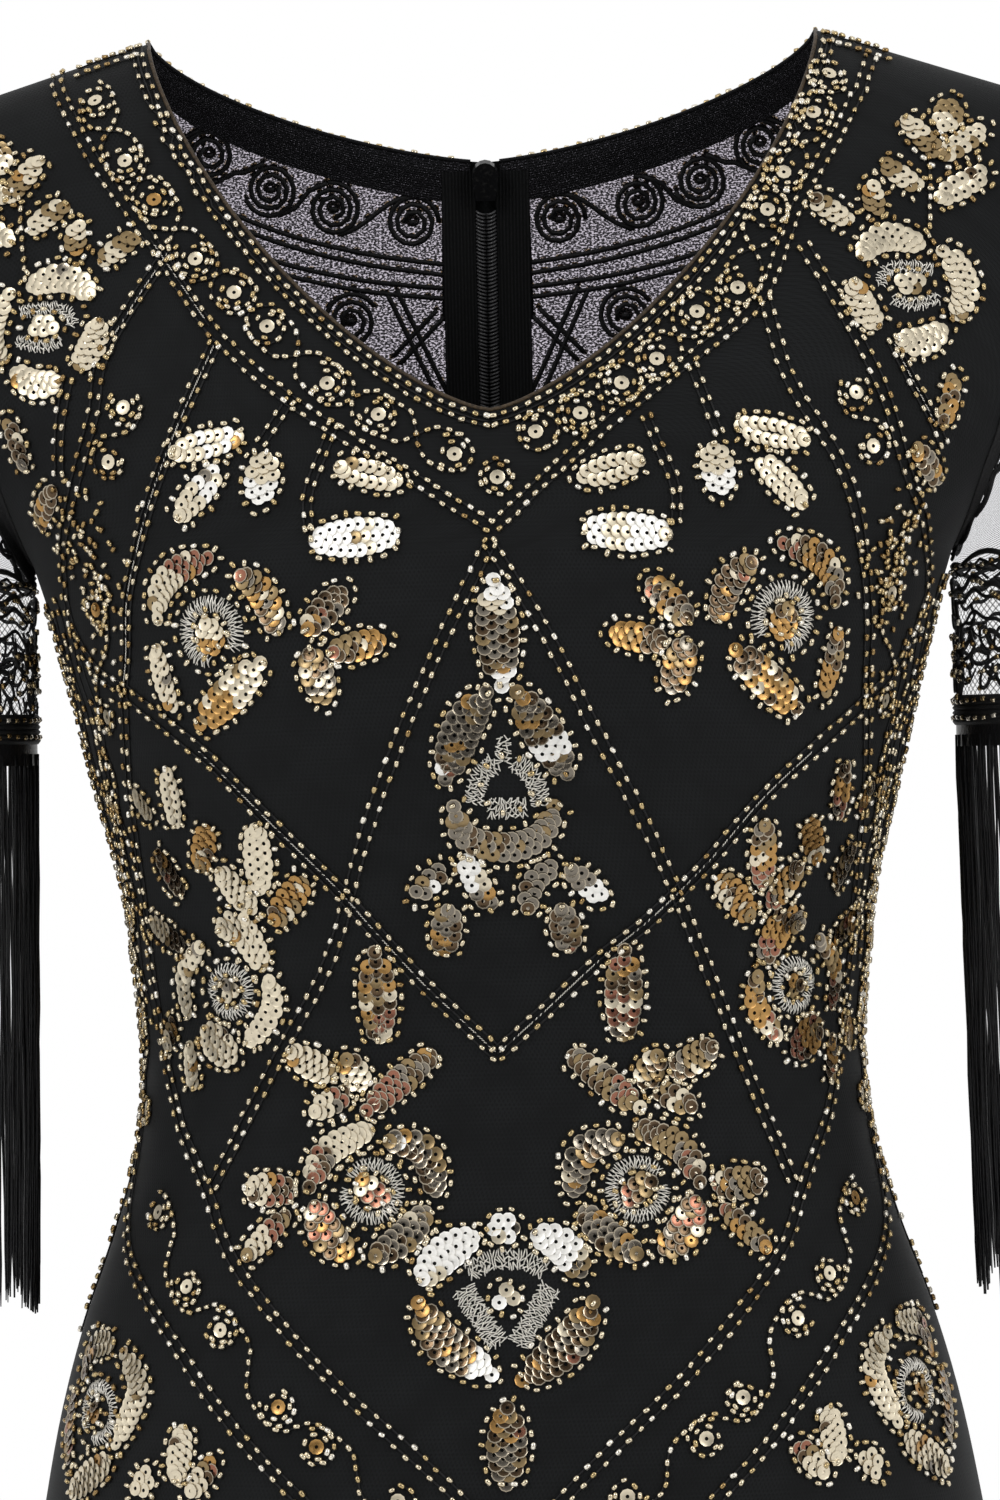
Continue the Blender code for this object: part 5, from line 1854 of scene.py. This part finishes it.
def cuff_trim():
    """Corded lace with open eyes, scattered beads, and two bead rows at its foot."""
    lines, spots = [], []
    steps = np.linspace(0.0, 1.0, 160)
    waves = 0.045 * np.sin(2 * math.pi * 9 * steps) + 0.02 * np.sin(2 * math.pi * 23 * steps)
    for down, thick in ((0.06, 0.0011), (0.15, 0.0007), (0.30, 0.0007), (0.83, 0.0011)):
        lines.append(curve_on(CUFF, steps, down + waves * (down < 0.5), thick))
    for down in (0.86, 0.895, 0.93, 0.965, 0.99):
        lines.append(curve_on(CUFF, steps, np.full(160, down), 0.0012))
    for down in (0.85, 0.965):
        around = np.linspace(0, 1, 62, endpoint=False) + rng.normal(0, 0.0009, 62)
        spots += beads_on(CUFF, around, down + rng.normal(0, 0.006, 62))
    around = np.sort(rng.uniform(0, 1, 90))
    spots += beads_on(CUFF, around, 0.10 + 0.07 * np.sin(around * 57))
    turn = np.linspace(0, 2 * math.pi, 12)
    tall, round_it = CUFF_TOP_Z - CUFF_BOTTOM_Z, 2 * math.pi * TUBE_HALF_WIDTH
    for k in range(11):
        centre, middle = (k + 0.5 + rng.uniform(-0.12, 0.12)) / 11, 0.52 + rng.uniform(-0.07, 0.07)
        first = rng.uniform(0, 6.28)
        for leaf in range(6):
            # Loops in mm round the flower's centre, then as shares of the cuff
            heading, reach = first + leaf * math.pi / 3, rng.uniform(6.6, 8.6)
            length, width = rng.uniform(4.2, 5.4), rng.uniform(2.0, 2.8)
            x = reach + length * np.cos(turn)
            y = width * np.sin(turn)
            across = x * math.cos(heading) - y * math.sin(heading)
            down = x * math.sin(heading) + y * math.cos(heading)
            around = centre + across / 1e3 / round_it
            down = np.clip(middle + down / 1e3 / tall, 0.16, 0.84)
            lines.append(curve_on(CUFF, around, down, rng.uniform(0.0006, 0.0010)))
            spots += beads_on(CUFF, around[:-1:4], down[:-1:4])
    for _ in range(150):
        # Short threads at all slants, which close the ground between the flowers
        start, heading = rng.uniform(0, 1), rng.uniform(0, math.pi)
        share = np.linspace(-1.0, 1.0, 5) * rng.uniform(2.0, 5.0) / 1e3
        around = start + share * math.cos(heading) / round_it
        down = rng.uniform(0.18, 0.82) + share * math.sin(heading) / tall
        down = np.clip(down + 0.02 * np.cos(share * 600.0), 0.12, 0.86)
        lines.append(curve_on(CUFF, around, down, rng.uniform(0.0004, 0.0009)))
    return lines, spots


def fringe_heap(sign):
    """Clumps of twisted strands in two loose layers under a narrow header."""
    heap = Heap()
    heights = (CUFF_BOTTOM_Z, -0.244, HEADER_BOTTOM_Z)
    header = np.array([tube_point(cuff_turn, z) for z in heights])
    heap.add(flipped(header.reshape(-1, 3), sign), grid_faces(3, 72, ring=True, flip=sign < 0))
    clumps, steps = 47, 14
    share = np.linspace(0.0, 1.0, steps)
    top = HEADER_BOTTOM_Z + 0.004
    for k in range(clumps):
        middle = 2 * math.pi * (k + rng.uniform(-0.12, 0.12)) / clumps
        drift = rng.normal(0, 0.046)
        bend = rng.uniform(0, 2 * math.pi)
        bottom = FRINGE_BOTTOM_Z + rng.uniform(-0.002, 0.0105)
        for strand in range(5):
            place = (strand - 2) * 0.0152 + rng.normal(0, 0.0020)
            turn = middle + place * mix(1.55, 0.50 + 0.3 * rng.random(), share) + drift * share
            turn = turn + 0.012 * share * np.sin(share * 7.0 + bend)
            inset = 0.0004 + 0.0013 * (strand % 2) + 0.0004 * np.sin(share * 11 + strand)
            end = bottom + rng.uniform(-0.0015, 0.0045)
            line = tube_point(turn, mix(top, end, share), inset)
            line[:, 0] += FRINGE_LEAN * share
            radial = np.column_stack([circle(turn), 0 * turn])
            twist = 1.0 + 0.16 * np.sin(share * 34.0 + bend + strand)
            radius = 0.00062 * rng.uniform(0.9, 1.15) * twist
            radius[-1] *= 0.45
            points, blocks = tube(line, radial, radius, 4)
            heap.add(flipped(points, sign), [b[:, ::-1] for b in blocks] if sign < 0 else blocks)
    return heap


def net_ring(kind, word, sign, points, look, slot):
    """A ring of net, in place of the solid of its kind."""
    grid = flipped(points, sign)
    closed = np.concatenate([grid, grid[:, :1]], axis=1)
    piece = grid_mesh(f"{kind}_net_{word}", closed, [look], flip=sign > 0)
    ride_with(piece, slot)
    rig.replaces(piece, f"{kind}_{word}")
    return piece


for word, sign in SIDES:
    sleeve = net_ring("sleeve", word, sign, SLEEVE[0], TULLE, "mesh")
    # The band is wider on the wearer's right
    band = sleeve_trim(0.0 if sign > 0 else 8.0)
    trim = ride_with(trim_object(f"sleeve_cords_{word}", *band, sign), "cord")
    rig.sheet(sleeve, flat=(0.33, 0.17), held="hung", area=0.033, with_pieces=[trim])

    cuff = net_ring("cuff", word, sign, CUFF[0], LACE_NET, "lace")
    trim = ride_with(trim_object(f"cuff_lace_{word}", *cuff_trim(), sign), "cord")
    strands = ride_with(fringe_heap(sign).object(f"fringe_strands_{word}", [FRINGE]), "fringe")
    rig.replaces(strands, f"fringe_{word}")
    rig.sheet(cuff, flat=(0.31, 0.05), held="hung", with_pieces=[trim, strands])

# ---------------------------------------------------------------- facings and zip


def inside_back(u, z, lift):
    """Points this far inside the back's cloth."""
    point, normal, _, _ = on_cloth(BACK, u, z)
    return point - normal * lift


# The tape's edges from the centre seam, and how far it and the coil lie inside the cloth
TAPE_NEAR, TAPE_FAR, ZIP_LIFT = 0.0034, 0.0155, 0.0019
FACING_DEPTH = 0.0140
tape_z = np.linspace(-0.425, -0.0405, 150)
top_angle, top_z = (values[-1, :neck_count] for values in panel_grid(BACK))
for word, sign in SIDES:
    u, z = np.meshgrid(np.linspace(TAPE_NEAR, TAPE_FAR, 9) * sign, tape_z)
    grid = inside_back(u, z, ZIP_LIFT)
    grid[..., 1] -= 0.0004 * np.sin(np.linspace(0, math.pi, 9))[None, :]
    tape = ride_with(grid_mesh(f"tape_ribbed_{word}", grid, [TAPE], flip=sign < 0), "tape")
    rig.replaces(tape, f"zip_tape_{word}")
    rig.sheet(tape, flat=(0.0125, 0.40), held="hung")

    top_u = u_at(BACK, top_angle * sign, top_z)
    rows = []
    for share in np.linspace(0.0, 1.0, 8):
        lift = 0.0003 + 0.0014 * min(share * 4.0, 1.0)
        row = inside_back(top_u * mix(1.0, 0.985, share), top_z - share * FACING_DEPTH, lift)
        rows.append(row[2:])
    facing = grid_mesh(f"facing_knit_{word}", np.array(rows), [FACING], flip=sign > 0)
    ride_with(facing, "jersey")
    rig.replaces(facing, f"neck_facing_{word}")
    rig.sheet(facing, flat=(0.145, 0.014), held="laid")


def zip_coil():
    """Two columns of slanting loops, the crowns of the coil on the inner side of the tape."""
    heap = Heap()
    share = np.linspace(0.0, 1.0, 5)
    lift = ZIP_LIFT + 0.0011 * np.sin(math.pi * share)[:, None]
    for sign in (1.0, -1.0):
        for z in np.arange(-0.424, -0.0545, 0.00128):
            u = sign * mix(0.0002, TAPE_NEAR, share)
            point, normal, _, _ = on_cloth(BACK, u, z + 0.0011 * share)
            heap.add(*tube(point - normal * lift, normal, 0.00046, 4))
    return heap.object("zip_coil_loops", [COIL_PAINTED_LIGHT])


coil = ride_with(zip_coil(), "coil")
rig.replaces(coil, "zip_coil")
for name in ("zip_slider", "zip_pull"):
    solid = frame["nodes"][name]
    solid.data.materials.clear()
    solid.data.materials.append(LACQUER)
    bevel = solid.modifiers.new("soft_edges", "BEVEL")
    bevel.width, bevel.segments, bevel.limit_method = 0.00022, 2, "ANGLE"

# ---------------------------------------------------------------- stage, light and camera

FLOOR_CORNERS, FLOOR_RADIUS = 64, 4.0
rim = circle(np.linspace(0, 2 * math.pi, FLOOR_CORNERS, endpoint=False)) * FLOOR_RADIUS
corners = np.column_stack([rim, np.full(FLOOR_CORNERS, HEM_Z - 0.001)])
floor_mesh = bpy.data.meshes.new("floor")
floor_mesh.from_pydata(corners.tolist(), [], [list(range(FLOOR_CORNERS))])
floor = bpy.data.objects.new("floor", floor_mesh)
bpy.context.scene.collection.objects.link(floor)
floor_look, _ = shader("pale_floor", grey(0.86), 0.9)
floor_mesh.materials.append(floor_look)
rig.stage(floor)


def area_light(name, place, target, size, power):
    data = bpy.data.lights.new(name, "AREA")
    data.shape, data.size, data.energy = "SQUARE", size, power
    lamp = bpy.data.objects.new(name, data)
    lamp.location = place
    lamp.rotation_euler = (Vector(target) - Vector(place)).to_track_quat("-Z", "Y").to_euler()
    bpy.context.scene.collection.objects.link(lamp)


area_light("key_left", (-2.0, -2.4, 1.3), (0, 0, -0.35), 1.0, 26)
area_light("key_right", (2.2, -2.2, 0.9), (0, 0, -0.35), 1.0, 20)
area_light("flare", (-0.30, -3.0, 0.45), (0, 0, -0.3), 0.35, 1.0)

WHITE = (1.0, 1.0, 1.0, 1.0)
world = bpy.data.worlds.new("studio")
world.use_nodes = True
bpy.context.scene.world = world
# The camera sees plain white. The light is dimmer from behind the camera, so that the black
# cloth stays dark.
lighting = world.node_tree.nodes["Background"]
lighting.inputs["Color"].default_value = WHITE
seen = node(world, "ShaderNodeBackground", Color=WHITE, Strength=1.0)
split = node(world, "ShaderNodeSeparateXYZ")
wire(world, node(world, "ShaderNodeTexCoord").outputs["Generated"], split.inputs["Vector"])
shade = node(world, "ShaderNodeMapRange", interpolation_type="SMOOTHSTEP")
for key, value in (("From Min", -0.95), ("From Max", -0.55), ("To Min", 0.12), ("To Max", 0.95)):
    shade.inputs[key].default_value = value
wire(world, split.outputs["Y"], shade.inputs["Value"])
wire(world, shade.outputs["Result"], lighting.inputs["Strength"])
choice = node(world, "ShaderNodeMixShader")
wire(world, node(world, "ShaderNodeLightPath").outputs["Is Camera Ray"], choice.inputs[0])
wire(world, lighting.outputs["Background"], choice.inputs[1])
wire(world, seen.outputs["Background"], choice.inputs[2])
wire(world, choice.outputs["Shader"], world.node_tree.nodes["World Output"].inputs["Surface"])

camera_data = bpy.data.cameras.new("camera")
camera_data.sensor_width = 36.0
camera_data.lens = 180.96
camera = bpy.data.objects.new("camera", camera_data)
camera.location = (0.001, -2.6, -0.246)
camera.rotation_mode = "XYZ"
camera.rotation_euler = (math.radians(90.0), math.radians(1.2), 0.0)
bpy.context.scene.collection.objects.link(camera)
bpy.context.scene.camera = camera
bpy.context.scene.view_settings.view_transform = "Standard"

bpy.context.view_layer.update()
with open("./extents.json", "w") as sizes:
    json.dump({"cad": cad_box, "visual": [list(corner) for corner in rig.bounds()]}, sizes)
